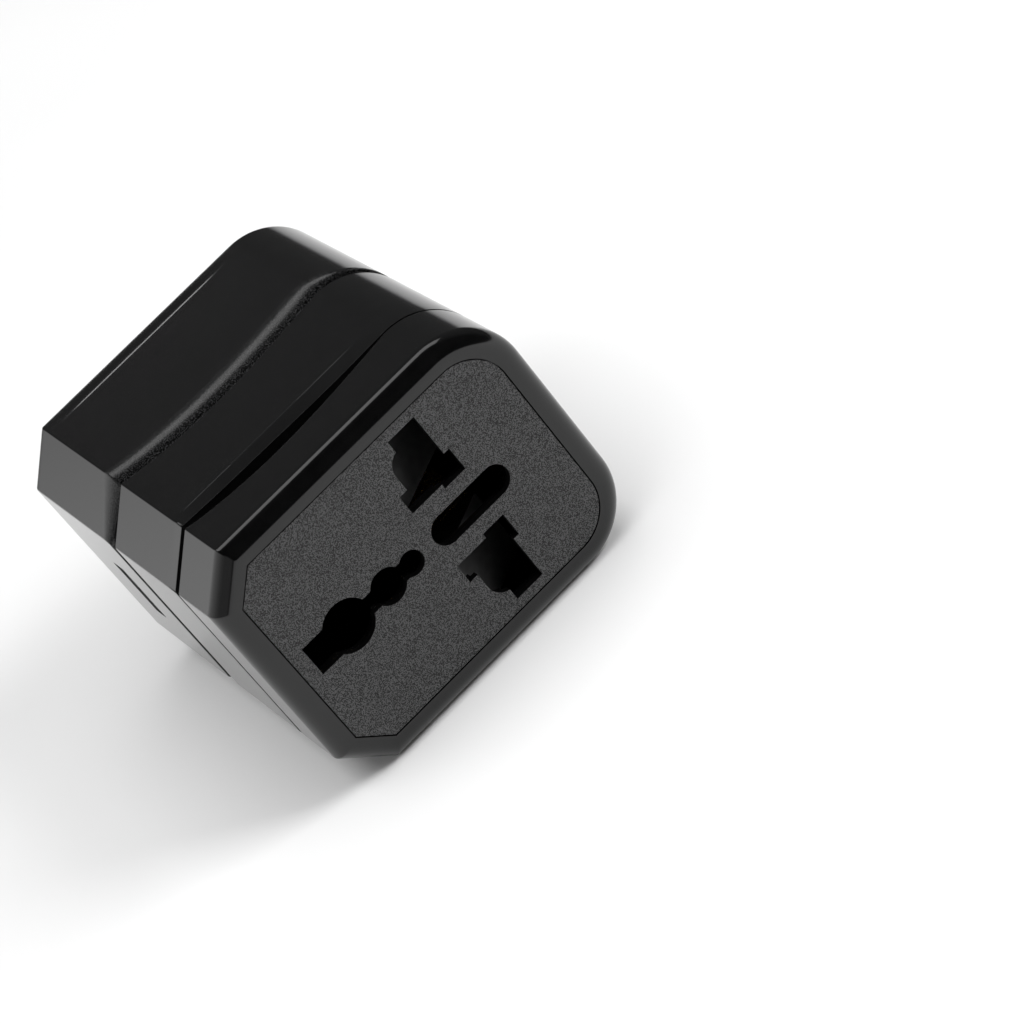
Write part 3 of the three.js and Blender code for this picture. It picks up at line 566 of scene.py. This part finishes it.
def panel_plastic():
    look = Look("grained_panel_plastic")
    look.colours(look.noise(0.12, 0), (0.0, 0.0, 0.0), (0.067, 0.067, 0.068), 0.46, 0.56)
    look.rough(look.noise(0.25, 2), 0.5, 0.7)
    look.bump(look.noise(0.12, 0), 0.03, 1.0)
    return look.material


def satin_plastic(name="satin_black_plastic", dark=0.01, light=0.016, low=0.34, high=0.48, ior=1.5):
    look = Look(name)
    look.shader.inputs["IOR"].default_value = ior
    look.colours(look.noise(1.2, 3), (dark,) * 3, (light,) * 3)
    look.rough(look.noise(1.5, 3), low, high)
    look.bump(look.noise(0.3, 2), 0.004, 0.5)
    return look.material


def metal(name, dark, light, low, high, stretch=(1, 1, 1)):
    look = Look(name)
    look.shader.inputs["Metallic"].default_value = 1.0
    look.colours(look.noise(0.8, 3, stretch), dark, light)
    look.rough(look.noise(0.8, 2, stretch), low, high)
    look.bump(look.noise(0.3, 2, stretch), 0.0006, 0.3)
    return look.material


def ceramic():
    look = Look("fuse_ceramic")
    look.colours(look.noise(1.0, 3), (0.72, 0.68, 0.6), (0.82, 0.79, 0.72))
    look.rough(look.noise(0.8, 2), 0.25, 0.4)
    look.bump(look.noise(0.4, 2), 0.004, 0.4)
    return look.material


def floor_look():
    look = Look("pale_floor")
    look.colours(look.noise(80, 2), (0.86, 0.86, 0.86), (0.88, 0.88, 0.88))
    look.rough(look.noise(40, 2), 0.75, 0.85)
    return look.material


GLOSS = gloss_plastic()
ROLL_GRAIN = roll_plastic()
PANEL = panel_plastic()
SATIN = satin_plastic()
# Near-black with weak reflections: painted shade on the inner walls seen in the seam gaps, groove and
# apertures and on the shutter sides, and the label bar's own dark colour.
SHADE_AND_LABEL_BLACK = satin_plastic("painted_shade_and_label_black", 0.0012, 0.0022, 0.65, 0.8, 1.25)
SHUTTER_PLASTIC = satin_plastic("shutter_plastic", 0.012, 0.02, 0.45, 0.55)
INSULATOR = satin_plastic("insulator_plastic", 0.002, 0.004, 0.55, 0.7)
BRASS = metal("brass_strip", (0.62, 0.44, 0.17), (0.74, 0.57, 0.27), 0.22, 0.36)
NICKEL = metal("nickel_plate", (0.64, 0.63, 0.6), (0.7, 0.69, 0.66), 0.2, 0.26)
STEEL = metal("zinc_steel", (0.45, 0.46, 0.48), (0.6, 0.61, 0.63), 0.25, 0.4)
CERAMIC = ceramic()
FINISHES = {
    "satin_black": SATIN,
    "insulator_black": INSULATOR,
    "brass": BRASS,
    "nickel": NICKEL,
    "steel": STEEL,
    "fuse_ceramic": CERAMIC,
    "gloss_black": GLOSS,
    "grained_black": PANEL,
}
SUBPARTS = {part["node"]: part for part in frame["record"]["subparts"]}
BODY_OF = {node: body for body, nodes in frame["record"]["behaviour"]["bodies"].items() for node in nodes}


def stand_in(obj, node, *materials):
    """Gives a made piece its materials, and the body and slot of the CAD node it stands for."""
    slot = SUBPARTS[node]["material_slot"]
    for index, material in enumerate(materials or [FINISHES[slot]]):
        if index < len(obj.data.materials):
            obj.data.materials[index] = material
        else:
            obj.data.materials.append(material)
    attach(obj, BODY_OF[node])
    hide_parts(node)


# The three shells and the socket face


def side_edge(depth, towards=1, radius=EDGE, steps=3):
    """Rings that round the outside edge at a seam: the side first (+1) or the seam first (-1)."""
    rings = []
    for k in range(steps + 1):
        a = math.radians(90 * k / steps)
        back = towards * radius * (1 - math.sin(a))
        rings.append(ring(radius * (1 - math.cos(a)), lambda x, back=back: depth(x) - back))
    return rings[::towards]


def front_housing():
    recess = PANEL_INSET - PANEL_GAP
    rings = [ring(recess, FRONT_WALL[0])]
    rings += [ring(recess - inset, depth) for inset, depth in FACE_EDGE]
    rings += [ring(FRONT_ROUND + 0.2, 0)]
    rings += [ring(inset, depth) for inset, depth in quarter(FRONT_ROUND, 18)]
    rings += side_edge(seam_front)
    gloss = len(rings) - 1
    rings += [ring(WALL, seam_front), ring(WALL, FRONT_WALL[1])]
    # The inner wall band gets the near-black of painted shade.
    shell = shell_object("front_shell", rings, [0] * gloss + [1] * 2)
    openings = apertures(WALL_APERTURE_GROWTH)
    combine(shell, prism_object("cutter", openings, (-OVERCUT, FRONT_WALL[1] + OVERCUT)))
    finish_edges(shell, 0)
    stand_in(shell, "front_housing", GLOSS, SHADE_AND_LABEL_BLACK)


def socket_face():
    back = PANEL_SETBACK + PANEL_THICKNESS
    rings = [ring(PANEL_INSET + inset, PANEL_SETBACK + depth) for inset, depth in PANEL_EDGE]
    rings += [ring(PANEL_INSET, back)]
    plate = shell_object("socket_plate", rings)
    combine(plate, prism_object("cutter", apertures(), (-OVERCUT, back + OVERCUT)))
    finish_edges(plate, 0.1)
    stand_in(plate, "socket_face", PANEL, SHADE_AND_LABEL_BLACK)
    # Aperture walls and the back get the near-black of painted shade; only the front face keeps the grained
    # panel colour.
    for face in plate.data.polygons:
        face.material_index = 0 if face.normal.y < -0.8 else 1


def middle_front(x):
    along = smoothstep(x, FRONT_GAP["start"], FRONT_GAP["end"])
    return SEAM_FRONT + mix(FRONT_GAP["chamfered"], FRONT_GAP["rounded"], along)


def rear_housing():
    def facet_drop(x):
        return BEVEL["drop"] * bow(x)

    def crease_drop(x):
        return BEVEL["step"] * bow(x)

    # The inner rings and the skirt seen in the front seam's gap get the near-black of painted shade.
    rings = [ring(WALL, MAIN_CAVITY_END), ring(WALL, FLANGE_END), ring(SKIRT_INNER, FLANGE_END)]
    rings += [ring(SKIRT_INNER, SKIRT_FROM), ring(SKIRT_INSET, SKIRT_FROM), ring(SKIRT_INSET, middle_front)]
    painted_shade_rings = len(rings)
    rings += [ring(THIN_EDGE, middle_front, facet_drop)]
    rings += [ring(0, lambda x: middle_front(x) + THIN_EDGE, facet_drop)]
    rings += [ring(0, BEVEL["end"], crease_drop), ring(0, BEVEL["end"] + 0.03, lambda x: crease_drop(x) / 3)]
    rings += [ring(0, BEVEL["end"] + 0.1)]
    rings += side_edge(seam_rear)
    bands = [1] * painted_shade_rings + [0] * (len(rings) - 1 - painted_shade_rings)
    shell = shell_object("middle_shell", rings, bands)
    screws = SHELL_SCREWS.values()
    holes = [rectangle(LINE_X, s * LINE_PIN_Z, *LINE_PIN_HOLE) for s in (1, -1)]
    holes += [rectangle(EARTH_PIN_X, 0, *EARTH_PIN_HOLE)] + [circle(x, z, SCREW_HOLE) for x, z in screws]
    combine(shell, prism_object("cutter", holes, PIN_WALL_CUT))
    seats = [circle(x, z, SCREW_SEAT["radius"]) for x, z in screws]
    combine(shell, prism_object("cutter", seats, (SCREW_SEAT["from"], PIN_WALL_CUT[1])))
    finish_edges(shell, 0)
    stand_in(shell, "rear_housing", GLOSS, SHADE_AND_LABEL_BLACK)


def module_front(x):
    return seam_rear(x) + MODULE_FRONT


def crown_drop(x):
    """Depth of a faint witness groove near the rear edge, fading out along the side."""
    return CROWN["drop"] * smoothstep(x, -19, -12) * (1 - smoothstep(x, 8, 15))


def travel_rings():
    """Rings of the travel housing from its cavity, round its lip and roll, to its rear face."""
    steepest = math.acos(1 - ROLL["drop"] / ROLL["radius"])

    def reach(part, x):
        rolled = ROLL["length"] - ROLL["radius"] * math.sin(steepest * part)
        return module_front(x) + mix(LIP["length"] + LIP["round"] * (1 - part), rolled, side_weight(x))

    def lip_drop(x):
        return LIP["drop"] * side_weight(x)

    rings = [ring(WALL, MODULE_CAVITY_END), ring(WALL, MODULE_STEP), ring(MODULE_INSET, MODULE_STEP)]
    rings += [ring(MODULE_INSET, module_front), ring(LIP["inset"] + EDGE, module_front, lip_drop)]
    rings += [ring(LIP["inset"], lambda x: module_front(x) + EDGE, lip_drop)]
    rings += [ring(LIP["inset"], lambda x: reach(1, x), lip_drop)]
    first = len(rings) - 4
    steps = 20
    for k in range(steps + 1):
        part = 1 - k / steps
        rings.append(ring(
            EDGE * max(1 - k / 2, 0),
            lambda x, part=part: reach(part, x),
            lambda x, part=part: ROLL["radius"] * (1 - math.cos(steepest * part)) * side_weight(x),
        ))
    last = len(rings) - 2
    for across, part in CROWN_PROFILE:
        place = CROWN["y"] + across * CROWN["half"]
        rings.append(ring(0, place, lambda x, part=part: part * crown_drop(x)))
    rings += [ring(inset, DEPTH - depth) for inset, depth in reversed(quarter(REAR_ROUND, 10))]
    # The cavity walls and the face at the bottom of the rear seam's groove get the near-black of painted
    # shade.
    return rings, [2] * first + [1] * (last - first) + [0] * (len(rings) - 1 - last)


def us_blade_depths():
    return [US_AXIS["y"] + side * US_BLADE["pitch"] / 2 for side in (-1, 1)]


def label_outline(grow):
    """The bar on the chamfered end as (depth, z) points, grown by a distance."""
    middle, half = sum(LABEL["z"]) / 2, (LABEL["z"][1] - LABEL["z"][0]) / 2
    return rectangle(LABEL["y"], middle, LABEL["half_y"] + grow, half + grow, LABEL["corner"])


def travel_housing():
    rings, bands = travel_rings()
    shell = shell_object("rear_shell", rings, bands)
    window = rectangle(EU_AXIS["x"], 0, *EU_WINDOW["half"], EU_WINDOW["corner"])
    slot = (*EU_SLOT["half"], EU_SLOT["corner"])
    slots = [rectangle(EU_SLOT["x"], side * EU_PIN["z"], *slot) for side in (1, -1)]
    combine(shell, prism_object("cutter", [window], (EU_WINDOW["from"], REAR_CUT_END)))
    combine(shell, prism_object("cutter", slots, (EU_SLOT["from"], REAR_CUT_END)))
    z = US_AXIS["z"]
    slot = (*US_SLOT["half"], US_SLOT["corner"])
    blades = [rectangle(y, z + US_SLOT["z"], *slot) for y in us_blade_depths()]
    combine(shell, prism_object("cutter", blades, (US_SLOT["from"], END_CUT), "x"))
    reach, clear = US_AXIS["half"] + HUB_END_GAP, US_AXIS["radius"] + HUB_GAP
    pocket_span = [(US_AXIS["y"] - reach, clear), (US_AXIS["y"] + reach, clear)]
    combine(shell, turned_object("cutter", "y", (US_AXIS["x"], z), pocket_span))
    axle_span = [(depth, AXLE_BORE) for depth in US_AXLE_HOLE]
    combine(shell, turned_object("cutter", "y", (US_AXIS["x"], z), axle_span))
    pocket = label_outline(LABEL_POCKET["gap"])
    combine(shell, prism_object("cutter", [pocket], (-END_CUT, -HALF_LENGTH + LABEL_POCKET["depth"]), "x"))
    finish_edges(shell, 0)
    stand_in(shell, "travel_housing", GLOSS, ROLL_GRAIN, SHADE_AND_LABEL_BLACK)
    for face in shell.data.polygons:
        if face.material_index == 1 and abs(face.normal.x) > 0.95:
            face.material_index = 0


# Plugs, screws, shutters and the other pieces that show


def label_bar():
    outer = -HALF_LENGTH + LABEL["sunk"]
    rings = []
    for inset, along in (*LABEL_EDGE, (0, LABEL["thickness"] - LABEL["sunk"])):
        rings.append([(outer + along, y, z) for y, z in label_outline(-inset)])
    bar = stack_object("label_strip", rings)
    finish_edges(bar, 0)
    stand_in(bar, "label_bar", SHADE_AND_LABEL_BLACK)


def shutter(side, name):
    """A wedge with a rounded lip, sides in the near-black of painted shade, and a guide rod, under one line
    aperture.
    """
    (x0, x1), (front, back) = SHUTTER["x"], (SHUTTER["front"], SHUTTER["back"])
    lip, slope_end = (SHUTTER["lip"], front), (x1, SHUTTER["slope_end"])
    profile = [(x0, front)] + fillet(lip, (x0, front), slope_end, SHUTTER_LIP_ROUND)
    profile += [slope_end, (x1, back), (x0, back)]
    wedge = prism_object(name, [profile], [side * z for z in SHUTTER["z"]], "z")
    y, z = COIL["centre"]
    rod = turned_object("rod", "x", (y, side * z), [(x0 - behind, radius) for behind, radius in ROD.values()])
    combine(wedge, rod, "UNION")
    finish_edges(wedge, 0.15, 40)
    pole = "live" if side > 0 else "neutral"
    stand_in(wedge, f"shutter_{pole}", SHUTTER_PLASTIC, SHADE_AND_LABEL_BLACK)
    # The sides get the near-black of painted shade, so they stay black in the centre slot.
    for face in wedge.data.polygons:
        face.material_index = 1 if abs(face.normal.z) > 0.7 else 0


def shutter_coil(side):
    """A coil from its seat to the shutter."""
    pole = "live" if side > 0 else "neutral"
    (first, last), (y, z), wire = COIL["x"], COIL["centre"], COIL["wire"]
    steps = COIL["turns"] * COIL_STEPS["turn"]
    rings = []
    for k in range(steps + 1):
        turn = 2 * math.pi * COIL["turns"] * k / steps
        along = mix(first, last, k / steps)
        loop = circle(0, 0, wire, COIL_STEPS["section"])
        section = [(along + b, COIL["radius"] + a) for a, b in loop]
        rings.append([(x, y + out * math.cos(turn), side * z + out * math.sin(turn)) for x, out in section])
    coil = stack_object(f"shutter_coil_{pole}", rings)
    finish_edges(coil, 0)
    stand_in(coil, f"shutter_spring_{pole}")
    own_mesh(coil)


def dome(radius, tip, back, steps=6):
    """(position, radius) pairs of a domed end, from its widest place to its tip."""
    angles = np.radians(np.linspace(0, 84, steps + 1))
    return [(back + (tip - back) * math.sin(a), radius * math.cos(a)) for a in angles]


def uk_pin(name, centre, halves, length, root, collar, sleeve):
    """A rectangular pin along y: collar, insulating sleeve, plated pin and rounded tip."""
    tip = SEAM_REAR + length
    collar_end = root + UK_COLLAR_LENGTH
    stations = [(root, -collar), (collar_end, -collar), (collar_end, 0)]
    metal_inset = 0
    if sleeve:
        sleeve_end = SEAM_REAR + sleeve
        metal_inset = UK_SLEEVE_STEP["inset"]
        stations += [(sleeve_end, 0), (sleeve_end + UK_SLEEVE_STEP["length"], metal_inset)]
    first_metal = len(stations) - 2 if sleeve else 0
    widest_turn = math.sin(math.radians(UK_TIP["degrees"]))
    for a in np.radians(np.linspace(0, UK_TIP["degrees"], UK_TIP["stations"])):
        back = UK_TIP["length"] * (1 - math.sin(a) / widest_turn)
        stations.append((tip - back, metal_inset + UK_TIP["inset"] * (1 - math.cos(a))))
    rings = []
    for y, inset in stations:
        points = rectangle(*centre, halves[0] - inset, halves[1] - inset, UK_PIN_CORNER)
        rings.append([(x, y, z) for x, z in points])
    bands = [1 if sleeve and 2 <= k <= first_metal else 0 for k in range(len(rings) - 1)]
    pin = stack_object(name, rings, bands)
    finish_edges(pin, 0)
    return pin


def uk_pins():
    halves = (UK_PIN["thick"] / 2, UK_PIN["along"] / 2)
    ends = [UK_PIN[key] for key in ("length", "root", "collar", "sleeve")]
    for side, pole in ((1, "live"), (-1, "neutral")):
        pin = uk_pin(f"uk_{pole}", (LINE_X, side * LINE_PIN_Z), halves, *ends)
        stand_in(pin, f"uk_pin_{pole}", NICKEL, SATIN)
    halves = (UK_EARTH["along"] / 2, UK_EARTH["thick"] / 2)
    pin = uk_pin("uk_earth", (EARTH_PIN_X, 0), halves, UK_EARTH["length"], UK_EARTH["root"], 0, 0)
    stand_in(pin, "uk_pin_earth")


def bored_barrel(name, axis, centre, ends, outer, bore_span):
    """A barrel with softened ends and a bore for its axle."""
    low, high = ends
    profile = [(low + along, outer - drop) for along, drop in BARREL_END]
    profile += [(high - along, outer - drop) for along, drop in reversed(BARREL_END)]
    barrel = turned_object(name, axis, centre, profile)
    combine(barrel, turned_object("bore", axis, centre, [(along, AXLE_BORE) for along in bore_span]))
    return barrel


def eu_pins():
    """Round pins along x with a sleeve at the barrel and a domed tip, and the barrel they fold on."""
    x, y, radius = EU_AXIS["x"], EU_AXIS["y"], EU_PIN["radius"]
    sleeve_end = x - EU_AXIS["radius"] - EU_PIN["sleeve"]
    for side, pole in ((1, "live"), (-1, "neutral")):
        sleeve = radius - EU_SLEEVE_INSET
        profile = [(x - EU_PIN["root"], sleeve), (sleeve_end, sleeve), (sleeve_end, radius)]
        profile += dome(radius, x - EU_PIN["reach"], x - EU_PIN["reach"] + EU_PIN["tip"])
        bands = [1] + [0] * (len(profile) - 2)
        pin = turned_object(f"eu_{pole}", "x", (y, side * EU_PIN["z"]), profile, bands)
        finish_edges(pin, 0)
        stand_in(pin, f"eu_pin_{pole}", NICKEL, SATIN)
    half = EU_AXIS["half"]
    barrel = bored_barrel("eu_hub", "z", (x, y), (-half, half), EU_AXIS["radius"], EU_BORE_SPAN)
    bore = radius + EU_HOLE["gap"]
    for side in (1, -1):
        hole = [(x - EU_HOLE["from"], bore), (x - EU_HOLE["to"], bore)]
        combine(barrel, turned_object("hole", "x", (y, side * EU_PIN["z"]), hole))
    finish_edges(barrel, 0.1, 50)
    stand_in(barrel, "eu_barrel")


def us_blades():
    """Flat blades with a hole near the tip, and the barrel they fold on."""
    x, z, half = US_AXIS["x"], US_AXIS["z"], US_BLADE["width"] / 2
    root, tip, corner = z + US_BLADE["root"], z + US_BLADE["reach"], US_BLADE["corner"]
    points = [(x - half, root), (x + half, root), (x + half, tip - corner), (x + half - corner, tip)]
    points += [(x - half + corner, tip), (x - half, tip - corner)]
    for y, place in zip(us_blade_depths(), ("front", "rear")):
        thick = US_BLADE["thick"] / 2
        blade = prism_object(f"us_{place}", [points], (y - thick, y + thick))
        hole = circle(x, tip - US_BLADE_HOLE["from_tip"], US_BLADE_HOLE["radius"])
        reach = US_BLADE_HOLE["reach"]
        combine(blade, prism_object("hole", [hole], (y - reach, y + reach)))
        finish_edges(blade, 0.22, 30, 3)
        stand_in(blade, f"us_blade_{place}")
    ends = (US_AXIS["y"] - US_AXIS["half"], US_AXIS["y"] + US_AXIS["half"])
    barrel = bored_barrel("us_hub", "y", (x, z), ends, US_AXIS["radius"], US_BORE_SPAN)
    slot = US_BARREL_SLOT
    half_y = US_BLADE["thick"] / 2 + slot["gap"]
    slots = [rectangle(y, z + slot["z"], half_y, slot["half_z"], slot["corner"]) for y in us_blade_depths()]
    combine(barrel, prism_object("slots", slots, (x - slot["reach"], x + slot["reach"]), "x"))
    finish_edges(barrel, 0.1, 50)
    stand_in(barrel, "us_barrel")


def screw(name, centre, size):
    """A pan-head screw along y with a cross recess, from its shaft's end, head's underside and top."""
    shaft, head = size["shaft"], size["head"]
    shaft_end, under, top = size["stations"]
    way = 1 if top > under else -1
    height = abs(top - under)
    profile = [(shaft_end, shaft * 0.7), (shaft_end + way * 0.4, shaft), (under, shaft), (under, head)]
    profile += [(under + way * height * rise, head * part) for rise, part in SCREW_CROWN]
    profile += [(top, head * SCREW_TOP)]
    made = turned_object(name, "y", centre, profile, steps=36)
    x, z = centre
    arm, width = head * SCREW_RECESS["reach"], SCREW_RECESS["half_width"]
    recess = sorted((under + way * height * SCREW_RECESS["depth"], top + way))
    for half_x, half_z in ((arm, width), (width, arm)):
        cross = rectangle(x, z, half_x, half_z, SCREW_RECESS["corner"])
        combine(made, prism_object("recess", [cross], recess))
    finish_edges(made, 0)
    return made


def screws():
    for place, centre in SHELL_SCREWS.items():
        stand_in(screw(f"screw_{place}", centre, SHELL_SCREW), f"shell_screw_{place}")
    for place, centre in MODULE_SCREWS.items():
        stand_in(screw(f"small_screw_{place}", centre, MODULE_SCREW), f"module_screw_{place}")


def fuse():
    """A ceramic tube with a plated cap at each end."""
    middle, half, cap, tube, cap_length = (FUSE[key] for key in ("x", "half", "cap", "tube", "cap_length"))
    ends = [(0, cap - 0.25), (0.08, cap - 0.07), (0.25, cap), (cap_length, cap), (cap_length, tube)]
    profile = [(middle - half + a, r) for a, r in ends]
    profile += [(middle + half - a, r) for a, r in reversed(ends)]
    bands = [0] * (len(ends) - 1) + [1] + [0] * (len(ends) - 1)
    made = turned_object("fuse_link", "x", FUSE["centre"], profile, bands)
    finish_edges(made, 0)
    stand_in(made, "fuse", NICKEL, CERAMIC)


front_housing()
socket_face()
rear_housing()
travel_housing()
label_bar()
shutter(1, "shutter_wedge_live")
shutter(-1, "shutter_wedge_neutral")
shutter_coil(1)
shutter_coil(-1)
uk_pins()
eu_pins()
us_blades()
screws()
fuse()


def keep_node(name, material, bevel):
    """Shows a CAD node as it is, with a finish and softened edges."""
    node = frame["nodes"][name]
    node.data.materials.clear()
    node.data.materials.append(material)
    edges = node.modifiers.new("edges", "BEVEL")
    edges.width = bevel * MM
    edges.segments = 2
    edges.limit_method = "ANGLE"
    edges.angle_limit = math.radians(50)


SOFTENED = {"brass": 0.08, "steel": 0.03}
for node, part in SUBPARTS.items():
    slot = part["material_slot"]
    keep_node(node, FINISHES[slot], SOFTENED.get(slot, 0.12))


# Floor, light and camera


def make_floor():
    mesh = bpy.data.meshes.new("floor")
    reach = FLOOR["reach"]
    corners = [(-reach, -reach, 0), (reach, -reach, 0), (reach, reach, 0), (-reach, reach, 0)]
    mesh.from_pydata(corners, [], [(0, 1, 2, 3)])
    floor = bpy.data.objects.new("floor", mesh)
    bpy.context.collection.objects.link(floor)
    floor.location.z = FLOOR["height"]
    floor.data.materials.append(floor_look())


def area_light(name, place, target, size, radiance, reflected=True, lights_surfaces=True):
    """A rectangular softbox, set by its radiance, that reflections or diffuse light may leave out."""
    data = bpy.data.lights.new(name, "AREA")
    data.shape = "RECTANGLE"
    data.size, data.size_y = size
    data.energy = radiance * math.pi * size[0] * size[1]
    light = bpy.data.objects.new(name, data)
    bpy.context.collection.objects.link(light)
    light.location = place
    light.rotation_mode = "QUATERNION"
    light.rotation_quaternion = (Vector(target) - Vector(place)).to_track_quat("-Z", "Y")
    light.visible_glossy = reflected
    light.visible_diffuse = lights_surfaces


def make_world():
    """A dim studio: grey behind the object, darker overhead and in front, and a pale wall at its left."""
    world = bpy.data.worlds.new("studio")
    world.use_nodes = True
    tree = world.node_tree
    tree.nodes.clear()

    def node(kind, **inputs):
        made = tree.nodes.new(kind)
        for name, value in inputs.items():
            made.inputs[name.replace("_", " ")].default_value = value
        return made

    def ranged(source, start, end, low, high):
        made = node("ShaderNodeMapRange", From_Min=start, From_Max=end, To_Min=low, To_Max=high)
        tree.links.new(source, made.inputs["Value"])
        return made.outputs["Result"]

    def maths(operation, first, second):
        made = tree.nodes.new("ShaderNodeMath")
        made.operation = operation
        tree.links.new(first, made.inputs[0])
        tree.links.new(second, made.inputs[1])
        return made.outputs["Value"]

    where = node("ShaderNodeTexCoord")
    split = node("ShaderNodeSeparateXYZ")
    ramp = node("ShaderNodeValToRGB")
    background = node("ShaderNodeBackground")
    output = node("ShaderNodeOutputWorld")
    ramp.color_ramp.elements[0].position = SKY_STOPS[0][0]
    ramp.color_ramp.elements[1].position = SKY_STOPS[-1][0]
    for position, _ in SKY_STOPS[1:-1]:
        ramp.color_ramp.elements.new(position)
    for element, (_, value) in zip(ramp.color_ramp.elements, SKY_STOPS):
        element.color = (value, value, value, 1)
    tree.links.new(where.outputs["Generated"], split.inputs["Vector"])
    x, y, z = (split.outputs[axis] for axis in "XYZ")
    tree.links.new(z, ramp.inputs["Fac"])
    beside, below = ranged(x, *SIDE_WALL["x"], 0, 1), ranged(z, *SIDE_WALL["z"], 0, 1)
    within = maths("MULTIPLY", beside, below)
    wall = maths("MULTIPLY", within, ranged(y, *SIDE_WALL["y"], *SIDE_WALL["strength"]))
    dimmed = ranged(y, *DIM_FRONT["y"], *DIM_FRONT["strength"])
    rest = maths("MULTIPLY", ramp.outputs["Color"], dimmed)
    tree.links.new(maths("ADD", rest, wall), background.inputs["Strength"])
    tree.links.new(background.outputs["Background"], output.inputs["Surface"])
    background.inputs["Color"].default_value = (1, 1, 1, 1)
    bpy.context.scene.world = world


def make_lights():
    area_light("top_soft", (0, 0, 1.1), LIGHTS_AIM, (1.4, 1.4), 2.3, reflected=False)
    area_light("front_fill", (0.68, -0.55, 0.62), LIGHTS_AIM, (0.4, 0.4), 15.0, reflected=False)
    area_light("back_strip", (0.11, 0.38, 0.9), LIGHTS_AIM, (1.0, 0.34), 2.1, lights_surfaces=False)
    area_light("glint_card", (0.156, 1.08, 0.388), LIGHTS_AIM, (0.14, 0.08), 2.6, lights_surfaces=False)


def make_camera():
    data = bpy.data.cameras.new("camera")
    data.lens = CAMERA["lens"]
    data.sensor_width = CAMERA["sensor"]
    data.clip_start, data.clip_end = CAMERA["clip"]
    camera = bpy.data.objects.new("camera", data)
    bpy.context.collection.objects.link(camera)
    forward = Vector(CAMERA["forward"]).normalized()
    up = Vector(CAMERA["up"])
    up = (up - forward * up.dot(forward)).normalized()
    right = forward.cross(up)
    turn = Matrix((right, up, -forward)).transposed()
    camera.matrix_world = Matrix.Translation(CAMERA["place"]) @ turn.to_4x4()
    bpy.context.scene.camera = camera


make_floor()
make_world()
make_lights()
make_camera()
bpy.context.scene.view_settings.view_transform = "Standard"
